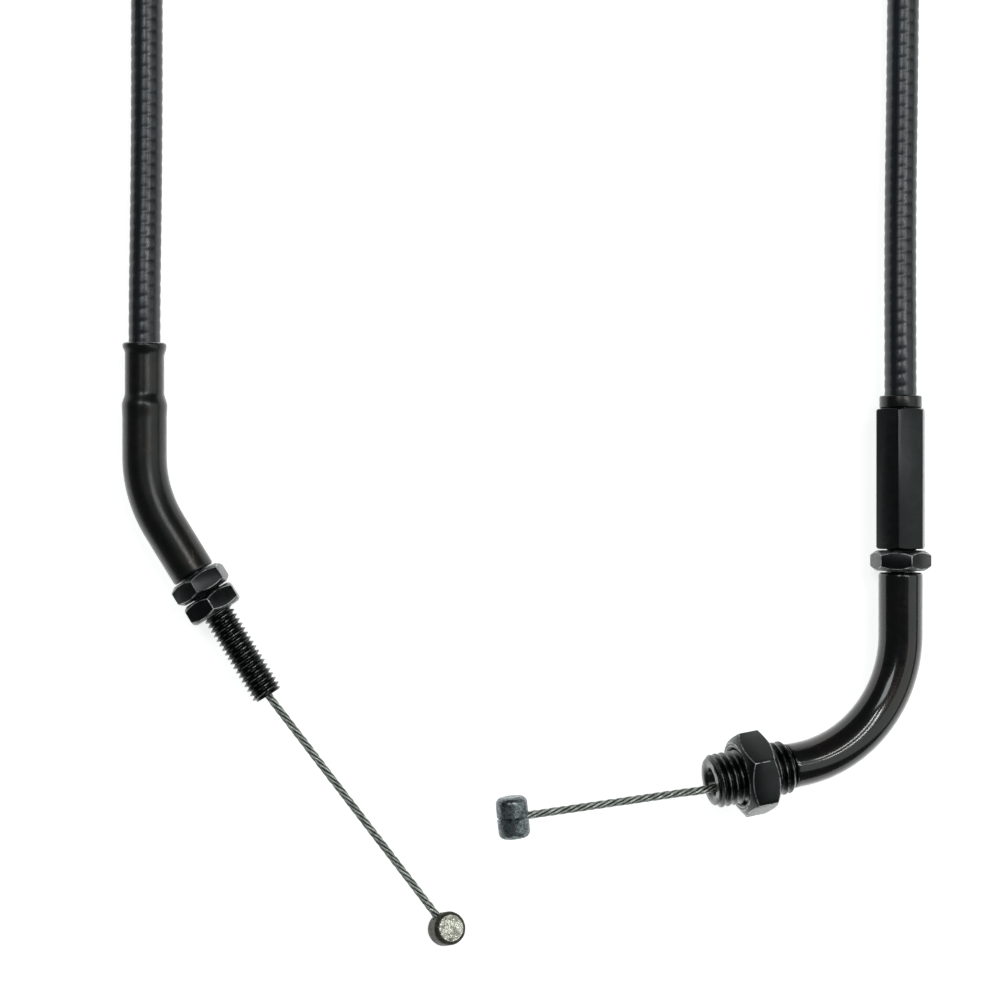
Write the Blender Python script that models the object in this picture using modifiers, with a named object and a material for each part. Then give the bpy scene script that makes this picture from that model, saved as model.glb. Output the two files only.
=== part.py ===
"""A motorcycle throttle cable, lying flat: metres, +Z up, +Y towards the coiled middle.

The carburettor end lies at -X and the throttle grip end at +X. Both fittings point down
the page (-Y) and the conduit runs up the page (+Y) into a coil of one and a half turns.
"""

import math

import bmesh
import bpy
from mathutils import Matrix, Vector

MM = 0.001
GAP = 0.3 * MM  # between two pieces that touch on the real cable
SIDES = 24  # sides of a turned or bent piece

# conduit: plastic sheath over a flat-wire spiral over a liner
CONDUIT_D = 6.0 * MM
SPIRAL_D = 4.6 * MM
SPIRAL_BORE = 3.4 * MM
LINER_D = 2.8 * MM
LINER_BORE = 2.1 * MM
WIRE_D = 1.5 * MM

# nuts and threads
LOCK_NUT_FLATS = 10.0 * MM
LOCK_NUT_THICK = 3.8 * MM
CARB_NUT_THICK = 4.0 * MM
JAM_NUT_FLATS = 14.0 * MM
JAM_NUT_THICK = 6.2 * MM
THREAD_D = 6.0 * MM  # M6 x 1.0 on the adjuster stem and the carburettor stem
SLEEVE_D = 9.9 * MM  # M10 x 1.25 on the elbow's sleeve
STEM_BORE = 3.4 * MM
THREAD_CHAMFER = 0.5 * MM
SLEEVE_CHAMFER = 0.7 * MM
NUT_CHAMFER = 1.1 * MM
JAM_NUT_CHAMFER = 1.45 * MM
NUT_END = 0.9  # end face's diameter as a share of the width across flats
ADJUSTER_CHAMFER = 0.5 * MM
ADJUSTER_END = 0.975
FERRULE_CHAMFER = 0.25 * MM
SPIRAL_CHAMFER = 0.2 * MM
BARREL_CHAMFER = 0.35 * MM
SLEEVE_BORE = 4.8 * MM

# tubes
TUBE_D = 8.3 * MM
TUBE_BORE = 6.0 * MM
SPIGOT_D = TUBE_BORE - 2 * GAP

# throttle grip end
THROTTLE_X = 70.45 * MM
CORNER_Y = -18.55 * MM  # where the leg's axis meets the sleeve's
SHOULDER_Y = 13.8 * MM  # top of the elbow, under the lock nut
ELBOW_RADIUS = 24.0 * MM
SHOULDER_ROUNDING = [(0.0 * MM, 0.45 * MM), (0.3 * MM, 0.12 * MM), (0.7 * MM, 0.0 * MM)]  # drop, inset
SLEEVE_TURN = math.radians(9.0)  # below square to the leg
SLEEVE_RISE = math.radians(15.0)  # the elbow lies rolled, with its sleeve off the surface
SLEEVE_START = 23.2 * MM  # along the sleeve's axis from the corner
SLEEVE_LENGTH = 15.4 * MM
SPIGOT_LENGTH = 2.2 * MM
JAM_NUT_START = 27.2 * MM
JAM_NUT_ROLL = math.radians(20.3)
ADJUSTER_FLATS = 8.6 * MM
ADJUSTER_LENGTH = 26.4 * MM
ADJUSTER_SOCKET = 8.4 * MM  # depth of the wider bore that takes the ferrule
LOCK_NUT_ROLL = math.radians(10.7)
ADJUSTER_ROLL = math.radians(-15.6)
STEM_ENGAGED = 17.2 * MM  # how far the adjuster stem reaches into the hexagon
FERRULE_FLANGE_D = 7.9 * MM
FERRULE_FLANGE = 2.1 * MM
FERRULE_SHANK_D = 6.6 * MM
FERRULE_SHANK = 7.6 * MM
FERRULE_FLOOR = 1.2 * MM
FERRULE_LIP_Y = 0.3 * MM  # seat of the sheath, above the flange's underside
THROTTLE_WIRE_TURN = math.radians(6.0)
THROTTLE_WIRE_OFFSET = 1.2 * MM  # the wire lies against one side of the sleeve's mouth
THROTTLE_WIRE_FREE = 38.0 * MM  # mouth to the middle of the barrel
THROTTLE_BARREL_D = 5.7 * MM
THROTTLE_BARREL_LENGTH = 7.5 * MM
BARREL_ROUNDING = 1.2 * MM
PARTING_GROOVE = 0.25 * MM

# carburettor end
CARB_X = -71.95 * MM
CARB_CORNER_Y = 28.65 * MM
CARB_RADIUS = 25.0 * MM
CARB_TURN = math.radians(31.5)  # between the conduit's line and the stem's
CARB_RIM_Y = 56.9 * MM
CRIMP_D = 7.4 * MM
CRIMP_END_Y = 47.0 * MM
CARB_RIM = 1.0 * MM  # length of the rim, above its taper to the crimp
CARB_RIM_TAPER = 1.4 * MM
BULGE_D = TUBE_D + 0.2 * MM  # where the tube swells below the crimp
BULGE_DROP = 1.8 * MM
BULGE_LENGTH = 2.5 * MM
CARB_SEAT_STEP = 0.2 * MM
CARB_SPIRAL_BARED = 8.0 * MM
CARB_TUBE_END = 17.8 * MM  # along the stem's axis from the corner
CARB_STEM_END = 44.6 * MM
CARB_SPIGOT_LENGTH = 8.0 * MM
INNER_NUT_ROLL = math.radians(5.0)
OUTER_NUT_ROLL = math.radians(-5.0)
CARB_WIRE_TURN = math.radians(52.9)  # below +X
CARB_WIRE_FREE = 55.7 * MM
CARB_BARREL_D = 6.3 * MM
CARB_BARREL_LENGTH = 4.8 * MM
CARB_BARREL_TILT = math.radians(25.5)  # of its axis from upright
CARB_BARREL_LIFT = 0.1 * MM  # of its lowest edge off the surface

# coil of the length between the two fittings
TIE_THICK = 1.0 * MM
TIE_WIDTH = 4.6 * MM
TIE_ANGLES = (25, 90, 155)
COIL_X = -0.2 * MM
COIL_Y = 199.2 * MM
COIL_RADIUS = 71.75 * MM
COIL_LOW_Z = TIE_THICK + GAP + CONDUIT_D / 2
COIL_HIGH_Z = COIL_LOW_Z + CONDUIT_D

UP = Vector((0, 0, 1))
ALONG_LEG = Vector((0, 1, 0))
THROTTLE_Z = LOCK_NUT_FLATS / math.sqrt(3)  # the lock nut's corners just clear the surface
CARB_Z = LOCK_NUT_FLATS / math.sqrt(3) * math.cos(OUTER_NUT_ROLL)
BARREL_HOLE = WIRE_D + 2 * GAP

FLANGE_Y = SHOULDER_Y + 3 * GAP + LOCK_NUT_THICK + ADJUSTER_LENGTH
SHEATH_THROTTLE_Y = FLANGE_Y + FERRULE_LIP_Y + GAP
SHEATH_CARB_Y = CRIMP_END_Y + 0.5 * MM
CARB_LEG = [
    (CARB_X, SHEATH_CARB_Y, CARB_Z),
    (CARB_X, 57.0 * MM, CARB_Z),
    (CARB_X, 68.0 * MM, 5.4 * MM),
    (CARB_X, 82.0 * MM, 4.2 * MM),
    (CARB_X, 98.0 * MM, 3.3 * MM),
    (CARB_X, 116.0 * MM, 3.1 * MM),
    (CARB_X, 134.0 * MM, 3.1 * MM),
    (CARB_X, 151.0 * MM, 3.3 * MM),
    (CARB_X, 168.0 * MM, 3.9 * MM),
]
THROTTLE_LEG = [
    (71.55 * MM, 168.0 * MM, 9.0 * MM),
    (71.55 * MM, 152.0 * MM, 6.2 * MM),
    (71.5 * MM, 136.0 * MM, 3.9 * MM),
    (71.4 * MM, 119.0 * MM, 3.1 * MM),
    (71.2 * MM, 102.0 * MM, 3.1 * MM),
    (70.9 * MM, 86.0 * MM, 3.5 * MM),
    (70.6 * MM, 71.0 * MM, 4.7 * MM),
    (THROTTLE_X, 58.0 * MM, 5.6 * MM),
    (THROTTLE_X, SHEATH_THROTTLE_Y, THROTTLE_Z),
]


def clear_scene():
    for item in list(bpy.data.objects):
        bpy.data.objects.remove(item, do_unlink=True)


def new_collection(name):
    group = bpy.data.collections.new(name)
    bpy.context.scene.collection.children.link(group)
    return group


def material(name, colour, roughness, metallic):
    made = bpy.data.materials.new(name)
    made.use_nodes = True
    shader = made.node_tree.nodes["Principled BSDF"]
    shader.inputs["Base Color"].default_value = (*colour, 1.0)
    shader.inputs["Roughness"].default_value = roughness
    shader.inputs["Metallic"].default_value = metallic
    made.diffuse_color = (*colour, 1.0)
    return made


def frame_at(origin, axis, up):
    """A placement at origin with local Z along axis and local X as near to up as it can be."""
    z = Vector(axis).normalized()
    x = (Vector(up) - z * z.dot(up)).normalized()
    y = z.cross(x)
    turn = Matrix((x, y, z)).transposed().to_4x4()
    return Matrix.Translation(origin) @ turn


def direction(turn, rise, towards):
    """A unit vector that is turn below the +X or -X axis and rises out of the plane."""
    level = math.cos(rise)
    return Vector((towards * math.cos(turn) * level, -math.sin(turn) * level, math.sin(rise)))


THROTTLE_CORNER = Vector((THROTTLE_X, CORNER_Y, THROTTLE_Z))
SLEEVE_AXIS = direction(SLEEVE_TURN, SLEEVE_RISE, -1)
THROTTLE_WIRE_AXIS = direction(THROTTLE_WIRE_TURN, SLEEVE_RISE, -1)
SLEEVE_MOUTH = THROTTLE_CORNER + SLEEVE_AXIS * (SLEEVE_START + SLEEVE_LENGTH)
ACROSS_SLEEVE = SLEEVE_AXIS.cross(UP).normalized() * -1
THROTTLE_WIRE_MOUTH = SLEEVE_MOUTH + ACROSS_SLEEVE * THROTTLE_WIRE_OFFSET
THROTTLE_BARREL_AT = THROTTLE_WIRE_MOUTH + THROTTLE_WIRE_AXIS * THROTTLE_WIRE_FREE

CARB_CORNER = Vector((CARB_X, CARB_CORNER_Y, CARB_Z))
CARB_AXIS = Vector((math.sin(CARB_TURN), -math.cos(CARB_TURN), 0))
CARB_MOUTH = CARB_CORNER + CARB_AXIS * CARB_STEM_END
CARB_BARREL_Z = (
    CARB_BARREL_LENGTH * math.cos(CARB_BARREL_TILT) + CARB_BARREL_D * math.sin(CARB_BARREL_TILT)
) / 2 + CARB_BARREL_LIFT
CARB_WIRE_DROP = math.asin((CARB_BARREL_Z - CARB_Z) / CARB_WIRE_FREE)
CARB_WIRE_AXIS = direction(CARB_WIRE_TURN, CARB_WIRE_DROP, 1)
CARB_BARREL_AT = CARB_MOUTH + CARB_WIRE_AXIS * CARB_WIRE_FREE


def baked(item):
    """The item's finished shape as a plain mesh, in its own local frame; the item goes."""
    graph = bpy.context.evaluated_depsgraph_get()
    graph.update()
    mesh = bpy.data.meshes.new_from_object(item.evaluated_get(graph), depsgraph=graph)
    bpy.data.objects.remove(item, do_unlink=True)
    work = bmesh.new()
    work.from_mesh(mesh)
    bmesh.ops.remove_doubles(work, verts=work.verts, dist=0.001 * MM)
    bmesh.ops.recalc_face_normals(work, faces=work.faces)
    work.to_mesh(mesh)
    work.free()
    return mesh


def scratch(name, data):
    item = bpy.data.objects.new(name, data)
    CUTTERS.objects.link(item)
    item.hide_render = True
    item.display_type = "WIRE"
    return item


def turned(outline, closed=True, sides=SIDES):
    """A solid turned round local Z from (radius, height) points that run down its outer side."""
    mesh = bpy.data.meshes.new("outline")
    work = bmesh.new()
    corners = [work.verts.new((radius, 0, height)) for radius, height in outline]
    for start, end in zip(corners, corners[1:]):
        work.edges.new((start, end))
    if closed:
        work.edges.new((corners[-1], corners[0]))
    work.to_mesh(mesh)
    work.free()
    item = scratch("turning", mesh)
    screw = item.modifiers.new("turn", "SCREW")
    screw.steps = sides
    screw.render_steps = sides
    screw.use_merge_vertices = True
    screw.merge_threshold = 0.0001 * MM
    screw.use_smooth_shade = False
    return baked(item)


def cylinder(diameter, low, high, sides=SIDES):
    mesh = bpy.data.meshes.new("cylinder")
    work = bmesh.new()
    bmesh.ops.create_cone(
        work,
        cap_ends=True,
        segments=sides,
        radius1=diameter / 2,
        radius2=diameter / 2,
        depth=high - low,
        matrix=Matrix.Translation((0, 0, (high + low) / 2)),
    )
    first = work.verts[:][0].co
    turn = Matrix.Rotation(-math.atan2(first.y, first.x), 4, "Z")
    bmesh.ops.transform(work, matrix=turn, verts=work.verts)
    work.to_mesh(mesh)
    work.free()
    return mesh


def combined(body, tool, operation, placement=None):
    """The body mesh after one boolean with the tool mesh."""
    target = scratch("body", body)
    cutter = scratch("tool", tool)
    if placement:
        cutter.matrix_world = placement
    step = target.modifiers.new("cut", "BOOLEAN")
    step.operation = operation
    step.solver = "EXACT"
    step.object = cutter
    bpy.context.view_layer.update()
    mesh = baked(target)
    bpy.data.objects.remove(cutter, do_unlink=True)
    return mesh


def swept(path, radii, resolution):
    """A round bar along the path, with capped ends."""
    curve = bpy.data.curves.new("path", "CURVE")
    curve.dimensions = "3D"
    curve.bevel_depth = 1.0
    curve.bevel_resolution = resolution
    curve.use_fill_caps = True
    spline = curve.splines.new("POLY")
    spline.points.add(len(path) - 1)
    for point, place, radius in zip(spline.points, path, radii):
        point.co = (*place, 1)
        point.radius = radius
    return baked(scratch("sweep", curve))


def bar(path, diameter, resolution=3):
    return swept(path, [diameter / 2] * len(path), resolution)


def smooth_path(points, steps):
    """Points on a Catmull-Rom curve through the given ones."""
    places = [Vector(p) for p in points]
    places = [places[0] * 2 - places[1]] + places + [places[-1] * 2 - places[-2]]
    found = []
    for before, start, end, after in zip(places, places[1:], places[2:], places[3:]):
        for step in range(steps):
            t = step / steps
            found.append(
                (
                    start * 2
                    + (end - before) * t
                    + (before * 2 - start * 5 + end * 4 - after) * t**2
                    + (start * 3 - before - end * 3 + after) * t**3
                )
                / 2
            )
    return found + [places[-2]]


def bend(corner, first, second, radius, steps):
    """Points round a bend at corner, from a line along first to a line along second."""
    angle = first.angle(second)
    reach = radius * math.tan(angle / 2)
    start = corner - first * reach
    inward = (second - first * first.dot(second)).normalized()
    centre = start + inward * radius
    found = []
    for step in range(steps + 1):
        part = angle * step / steps
        found.append(centre - inward * radius * math.cos(part) + first * radius * math.sin(part))
    return found


def piece(name, mesh, finish, placement=None, parent=None):
    """One named sub-part of the cable, placed in the world and hung from its joint."""
    mesh.name = name
    mesh.materials.clear()
    mesh.materials.append(finish)
    mesh.shade_smooth()
    mesh.set_sharp_from_angle(angle=math.radians(35))
    made = bpy.data.objects.new(name, mesh)
    CABLE.objects.link(made)
    if parent:
        made.parent = parent
        made.matrix_parent_inverse = parent.matrix_world.inverted()
    if placement:
        made.matrix_world = placement
    return made


def joint(name, origin, axis):
    """An empty that stands on a joint's axis, with its Z along it."""
    made = bpy.data.objects.new(name, None)
    made.empty_display_size = 5 * MM
    CABLE.objects.link(made)
    made.matrix_world = frame_at(origin, axis, UP + Vector((0.001, 0, 0)))
    bpy.context.view_layer.update()
    return made


def hexagon(flats, length, bore, chamfer, end):
    """A hexagon with both ends chamfered to a circle and a plain bore, standing on z = 0."""
    corner = flats / math.sqrt(3)
    face = end * flats / 2
    prism = cylinder(2 * corner, 0, length, sides=6)
    limit = turned(
        [
            (0, length + GAP / 3),
            (face, length + GAP / 3),
            (face, length),
            (corner + GAP, length - chamfer),
            (corner + GAP, chamfer),
            (face, 0),
            (face, -GAP / 3),
            (0, -GAP / 3),
        ],
        closed=False,
        sides=36,
    )
    shaped = combined(prism, limit, "INTERSECT")
    return combined(shaped, cylinder(bore, -MM, length + MM), "DIFFERENCE")


def pipe_outline(outer, inner, low, high, chamfer):
    """The outline of a straight pipe with its outer edges chamfered."""
    return [
        (outer / 2 - chamfer, high),
        (outer / 2, high - chamfer),
        (outer / 2, low + chamfer),
        (outer / 2 - chamfer, low),
        (inner / 2, low),
        (inner / 2, high),
    ]


def hollow(path, radii, bore_path, bore_radii):
    """A bent tube: a swept bar with another swept out of it."""
    return combined(swept(path, radii, 8), swept(bore_path, bore_radii, 6), "DIFFERENCE")


def elbow_line(top_y, end):
    """The elbow's centre line, from a height on the leg to a distance along the sleeve's axis."""
    start = Vector((THROTTLE_X, top_y, THROTTLE_Z))
    arc = bend(THROTTLE_CORNER, -ALONG_LEG, SLEEVE_AXIS, ELBOW_RADIUS, 14)
    return [start] + arc + [THROTTLE_CORNER + SLEEVE_AXIS * end]


def carb_line(top_y, end):
    """The bent tube's centre line, from a height on the leg to a distance along the stem."""
    start = Vector((CARB_X, top_y, CARB_Z))
    arc = bend(CARB_CORNER, -ALONG_LEG, CARB_AXIS, CARB_RADIUS, 6)
    return [start] + arc + [CARB_CORNER + CARB_AXIS * end]


def leg_frame(y):
    return frame_at((THROTTLE_X, y, THROTTLE_Z), ALONG_LEG, UP)


def make_elbow(parent):
    line = elbow_line(SHOULDER_Y, SLEEVE_START - GAP)
    top = [line[0] - ALONG_LEG * drop for drop, inset in SHOULDER_ROUNDING]
    path = top + line[1:]
    radii = [TUBE_D / 2 - inset for drop, inset in SHOULDER_ROUNDING]
    radii += [TUBE_D / 2] * (len(path) - len(radii))
    bore = elbow_line(SHOULDER_Y + MM, SLEEVE_START + MM)
    mesh = hollow(path, radii, bore, [TUBE_BORE / 2] * len(bore))
    piece("throttle_elbow", mesh, BLACK_STEEL, parent=parent)


def make_elbow_liner(parent):
    line = elbow_line(SHOULDER_Y + LOCK_NUT_THICK + STEM_ENGAGED, 0)[:-3]
    bore = [line[0] + ALONG_LEG * MM] + line[1:-1]
    bore.append(line[-1] + (line[-1] - line[-2]).normalized() * MM)
    radius = LINER_BORE / 2
    mesh = hollow(line, [LINER_D / 2] * len(line), bore, [radius] * len(bore))
    piece("elbow_liner", mesh, NYLON, parent=parent)


def make_sleeve(parent):
    outline = [
        (SLEEVE_D / 2 - SLEEVE_CHAMFER, SLEEVE_LENGTH),
        (SLEEVE_D / 2, SLEEVE_LENGTH - SLEEVE_CHAMFER),
        (SLEEVE_D / 2, THREAD_CHAMFER),
        (SLEEVE_D / 2 - THREAD_CHAMFER, 0),
        (SPIGOT_D / 2, 0),
        (SPIGOT_D / 2, -SPIGOT_LENGTH),
        (SLEEVE_BORE / 2, -SPIGOT_LENGTH),
        (SLEEVE_BORE / 2, SLEEVE_LENGTH),
    ]
    place = frame_at(THROTTLE_CORNER + SLEEVE_AXIS * SLEEVE_START, SLEEVE_AXIS, UP)
    piece("throttle_thread_sleeve", turned(outline), BLACK_STEEL, place, parent)


def make_jam_nut(parent):
    mesh = hexagon(JAM_NUT_FLATS, JAM_NUT_THICK, SLEEVE_D + 2 * GAP, JAM_NUT_CHAMFER, NUT_END)
    place = frame_at(THROTTLE_CORNER + SLEEVE_AXIS * JAM_NUT_START, SLEEVE_AXIS, UP)
    turn = Matrix.Rotation(JAM_NUT_ROLL, 4, "Z")
    piece("throttle_jam_nut", mesh, BLACK_OXIDE, place @ turn, parent)


def make_adjuster_stem(parent):
    top = LOCK_NUT_THICK + STEM_ENGAGED
    outline = [
        (THREAD_D / 2 - THREAD_CHAMFER, top),
        (THREAD_D / 2, top - THREAD_CHAMFER),
        (THREAD_D / 2, GAP),
        (SPIGOT_D / 2, GAP),
        (SPIGOT_D / 2, -5 * MM),
        (STEM_BORE / 2, -5 * MM),
        (STEM_BORE / 2, top),
    ]
    piece("adjuster_stem", turned(outline), BLACK_STEEL, leg_frame(SHOULDER_Y), parent)


def make_lock_nut(parent):
    mesh = hexagon(LOCK_NUT_FLATS, LOCK_NUT_THICK, THREAD_D + 2 * GAP, NUT_CHAMFER, NUT_END)
    turn = Matrix.Rotation(LOCK_NUT_ROLL, 4, "Z")
    piece("adjuster_lock_nut", mesh, BLACK_OXIDE, leg_frame(SHOULDER_Y + GAP) @ turn, parent)


def make_adjuster(parent):
    mesh = hexagon(ADJUSTER_FLATS, ADJUSTER_LENGTH, THREAD_D + 2 * GAP, ADJUSTER_CHAMFER, ADJUSTER_END)
    socket = cylinder(
        FERRULE_SHANK_D + 2 * GAP, ADJUSTER_LENGTH - ADJUSTER_SOCKET, ADJUSTER_LENGTH + MM
    )
    mesh = combined(mesh, socket, "DIFFERENCE")
    place = leg_frame(SHOULDER_Y + 2 * GAP + LOCK_NUT_THICK)
    turn = Matrix.Rotation(ADJUSTER_ROLL, 4, "Z")
    piece("adjuster_hexagon", mesh, BLACK_OXIDE, place @ turn, parent)


def make_throttle_ferrule():
    lip = CONDUIT_D / 2 + GAP
    floor = -FERRULE_SHANK + FERRULE_FLOOR
    outline = [
        (FERRULE_FLANGE_D / 2 - FERRULE_CHAMFER, FERRULE_FLANGE),
        (FERRULE_FLANGE_D / 2, FERRULE_FLANGE - FERRULE_CHAMFER),
        (FERRULE_FLANGE_D / 2, 0),
        (FERRULE_SHANK_D / 2, 0),
        (FERRULE_SHANK_D / 2, -FERRULE_SHANK),
        (BARREL_HOLE / 2, -FERRULE_SHANK),
        (BARREL_HOLE / 2, floor),
        (SPIRAL_D / 2 + GAP, floor),
        (SPIRAL_D / 2 + GAP, FERRULE_LIP_Y),
        (lip, FERRULE_LIP_Y),
        (lip, FERRULE_FLANGE),
    ]
    piece("throttle_conduit_ferrule", turned(outline), BLACK_STEEL, leg_frame(FLANGE_Y))


def make_spiral_ends():
    """The ends of the flat-wire spiral, bared of their sheath inside each fitting."""
    low = -FERRULE_SHANK + FERRULE_FLOOR + GAP
    high = SHEATH_THROTTLE_Y - FLANGE_Y - GAP
    mesh = turned(pipe_outline(SPIRAL_D, SPIRAL_BORE, low, high, SPIRAL_CHAMFER))
    piece("throttle_spiral_end", mesh, SPRING_STEEL, leg_frame(FLANGE_Y))
    mesh = turned(pipe_outline(SPIRAL_D, SPIRAL_BORE, -CARB_SPIRAL_BARED, -GAP, SPIRAL_CHAMFER))
    place = frame_at((CARB_X, SHEATH_CARB_Y, CARB_Z), ALONG_LEG, UP)
    piece("carb_spiral_end", mesh, SPRING_STEEL, place)


def make_throttle_wire(parent):
    line = elbow_line(FLANGE_Y - MM, 0)[:-1]
    inside = SLEEVE_MOUTH - SLEEVE_AXIS * SLEEVE_LENGTH / 2
    middle = inside + ACROSS_SLEEVE * THROTTLE_WIRE_OFFSET / 2
    outside = THROTTLE_WIRE_MOUTH + THROTTLE_WIRE_AXIS * SLEEVE_LENGTH / 2
    lean = smooth_path([line[-1], middle, THROTTLE_WIRE_MOUTH, outside], 4)
    path = line[:-1] + lean + [THROTTLE_BARREL_AT + THROTTLE_WIRE_AXIS * MM]
    piece("throttle_wire", bar(path, WIRE_D, 2), WIRE_ROPE, parent=parent)


def make_throttle_barrel(parent):
    radius = THROTTLE_BARREL_D / 2
    half = THROTTLE_BARREL_LENGTH / 2
    edge = []
    for step in range(6):
        angle = math.radians(90 - 18 * step)
        edge.append(
            (
                radius - BARREL_ROUNDING + BARREL_ROUNDING * math.cos(angle),
                half - BARREL_ROUNDING + BARREL_ROUNDING * math.sin(angle),
            )
        )
    floor = radius - PARTING_GROOVE
    groove = [(radius, PARTING_GROOVE), (floor, 0), (radius, -PARTING_GROOVE)]
    lower = [(r, -h) for r, h in reversed(edge)]
    mesh = turned([(0, half)] + edge + groove + lower + [(0, -half)], closed=False)
    place = frame_at(THROTTLE_BARREL_AT, THROTTLE_WIRE_AXIS.cross(UP), -THROTTLE_WIRE_AXIS)
    hole = cylinder(BARREL_HOLE, -MM - GAP, radius + MM, sides=16)
    drill = frame_at((0, 0, 0), (1, 0, 0), (0, 0, 1))
    mesh = combined(mesh, hole, "DIFFERENCE", drill)
    piece("throttle_barrel", mesh, ZINC, place, parent)


def make_carb_tube():
    bulge_y = CRIMP_END_Y - BULGE_DROP
    shape = [
        (CARB_RIM_Y, TUBE_D / 2),
        (CARB_RIM_Y - CARB_RIM, TUBE_D / 2),
        (CARB_RIM_Y - CARB_RIM - CARB_RIM_TAPER, CRIMP_D / 2),
        (CRIMP_END_Y, CRIMP_D / 2),
        (bulge_y, BULGE_D / 2),
        (bulge_y - BULGE_LENGTH, TUBE_D / 2),
    ]
    line = carb_line(CARB_RIM_Y, CARB_TUBE_END)[1:]
    path = [Vector((CARB_X, y, CARB_Z)) for y, radius in shape] + line
    radii = [radius for y, radius in shape] + [TUBE_D / 2] * len(line)
    lip = CONDUIT_D / 2 + GAP
    seat = CRIMP_END_Y + CARB_SEAT_STEP
    bore_shape = [(CARB_RIM_Y + MM, lip), (seat, lip), (CRIMP_END_Y, TUBE_BORE / 2)]
    bore_line = carb_line(CARB_RIM_Y, CARB_TUBE_END + MM)[1:]
    bore = [Vector((CARB_X, y, CARB_Z)) for y, radius in bore_shape] + bore_line
    bore_radii = [radius for y, radius in bore_shape] + [TUBE_BORE / 2] * len(bore_line)
    piece("carb_bent_tube", hollow(path, radii, bore, bore_radii), BLACK_STEEL)


def make_carb_stem():
    start = CARB_TUBE_END + GAP
    length = CARB_STEM_END - start
    outline = [
        (THREAD_D / 2 - THREAD_CHAMFER, length),
        (THREAD_D / 2, length - THREAD_CHAMFER),
        (THREAD_D / 2, 0),
        (SPIGOT_D / 2, 0),
        (SPIGOT_D / 2, -CARB_SPIGOT_LENGTH),
        (STEM_BORE / 2, -CARB_SPIGOT_LENGTH),
        (STEM_BORE / 2, length),
    ]
    place = frame_at(CARB_CORNER + CARB_AXIS * start, CARB_AXIS, UP)
    piece("carb_thread_stem", turned(outline), BLACK_STEEL, place)


def make_carb_nut(name, start, roll, parent):
    mesh = hexagon(LOCK_NUT_FLATS, CARB_NUT_THICK, THREAD_D + 2 * GAP, NUT_CHAMFER, NUT_END)
    place = frame_at(CARB_CORNER + CARB_AXIS * start, CARB_AXIS, UP)
    piece(name, mesh, BLACK_OXIDE, place @ Matrix.Rotation(roll, 4, "Z"), parent)


def make_carb_wire(parent):
    line = carb_line(CARB_RIM_Y - 20 * MM, CARB_STEM_END - MM)
    end = CARB_BARREL_AT + CARB_WIRE_AXIS * MM
    path = line + [CARB_MOUTH + CARB_WIRE_AXIS * MM, end]
    piece("carb_wire", bar(path, WIRE_D, 2), WIRE_ROPE, parent=parent)


def make_carb_barrel(parent):
    half = CARB_BARREL_LENGTH / 2
    outline = pipe_outline(CARB_BARREL_D, 0, -half, half, BARREL_CHAMFER)
    level = UP.cross(CARB_WIRE_AXIS).normalized()
    raised = CARB_WIRE_AXIS.cross(level)
    axis = level * math.sin(CARB_BARREL_TILT) + raised * math.cos(CARB_BARREL_TILT)
    mesh = turned([outline[-1]] + outline[:-1], closed=False)
    hole = cylinder(BARREL_HOLE, -MM - GAP, CARB_BARREL_D, sides=16)
    drill = frame_at((0, 0, 0), (1, 0, 0), (0, 0, 1))
    mesh = combined(mesh, hole, "DIFFERENCE", drill)
    place = frame_at(CARB_BARREL_AT, axis, -CARB_WIRE_AXIS)
    piece("carb_barrel", mesh, ZINC, place, parent)


def make_legs():
    """The sheathed conduit between each fitting and the coil."""
    mesh = bar(smooth_path(CARB_LEG, 2), CONDUIT_D)
    piece("conduit_leg_carb", mesh, SHEATH)
    mesh = bar(smooth_path(THROTTLE_LEG, 2), CONDUIT_D)
    piece("conduit_leg_throttle", mesh, SHEATH)


def make_coil():
    """One and a half turns, the second lying on the first, as the ring that they fill."""
    inner = COIL_RADIUS - CONDUIT_D / 2
    outer = COIL_RADIUS + CONDUIT_D / 2
    low = COIL_LOW_Z - CONDUIT_D / 2
    high = COIL_HIGH_Z + CONDUIT_D / 2
    soft = 1.5 * MM
    outline = [
        (inner + soft, high),
        (outer - soft, high),
        (outer, high - soft),
        (outer, low + soft),
        (outer - soft, low),
        (inner + soft, low),
        (inner, low + soft),
        (inner, high - soft),
    ]
    place = Matrix.Translation((COIL_X, COIL_Y, 0))
    piece("conduit_coil", turned(outline, sides=64), SHEATH, place)


def make_ties():
    """Nylon ties that hold the two turns of the coil together."""
    width = CONDUIT_D + 2 * GAP
    height = 2 * CONDUIT_D + 2 * GAP
    middle = (COIL_LOW_Z + COIL_HIGH_Z) / 2
    for number, degrees in enumerate(TIE_ANGLES, start=1):
        outer = bpy.data.meshes.new("band")
        work = bmesh.new()
        size = (width + 2 * TIE_THICK, TIE_WIDTH, height + 2 * TIE_THICK, 1)
        bmesh.ops.create_cube(work, size=1, matrix=Matrix.Diagonal(size))
        work.to_mesh(outer)
        work.free()
        inner = bpy.data.meshes.new("hole")
        work = bmesh.new()
        bmesh.ops.create_cube(work, size=1, matrix=Matrix.Diagonal((width, 2 * TIE_WIDTH, height, 1)))
        work.to_mesh(inner)
        work.free()
        mesh = combined(outer, inner, "DIFFERENCE")
        angle = math.radians(degrees)
        at = Vector((math.cos(angle), math.sin(angle), 0)) * COIL_RADIUS
        place = Matrix.Translation(at + Vector((COIL_X, COIL_Y, middle)))
        piece(f"coil_tie_{number}", mesh, TIE_NYLON, place @ Matrix.Rotation(angle, 4, "Z"))


clear_scene()
CABLE = new_collection("throttle_cable")
CUTTERS = new_collection("cutters")

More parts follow.
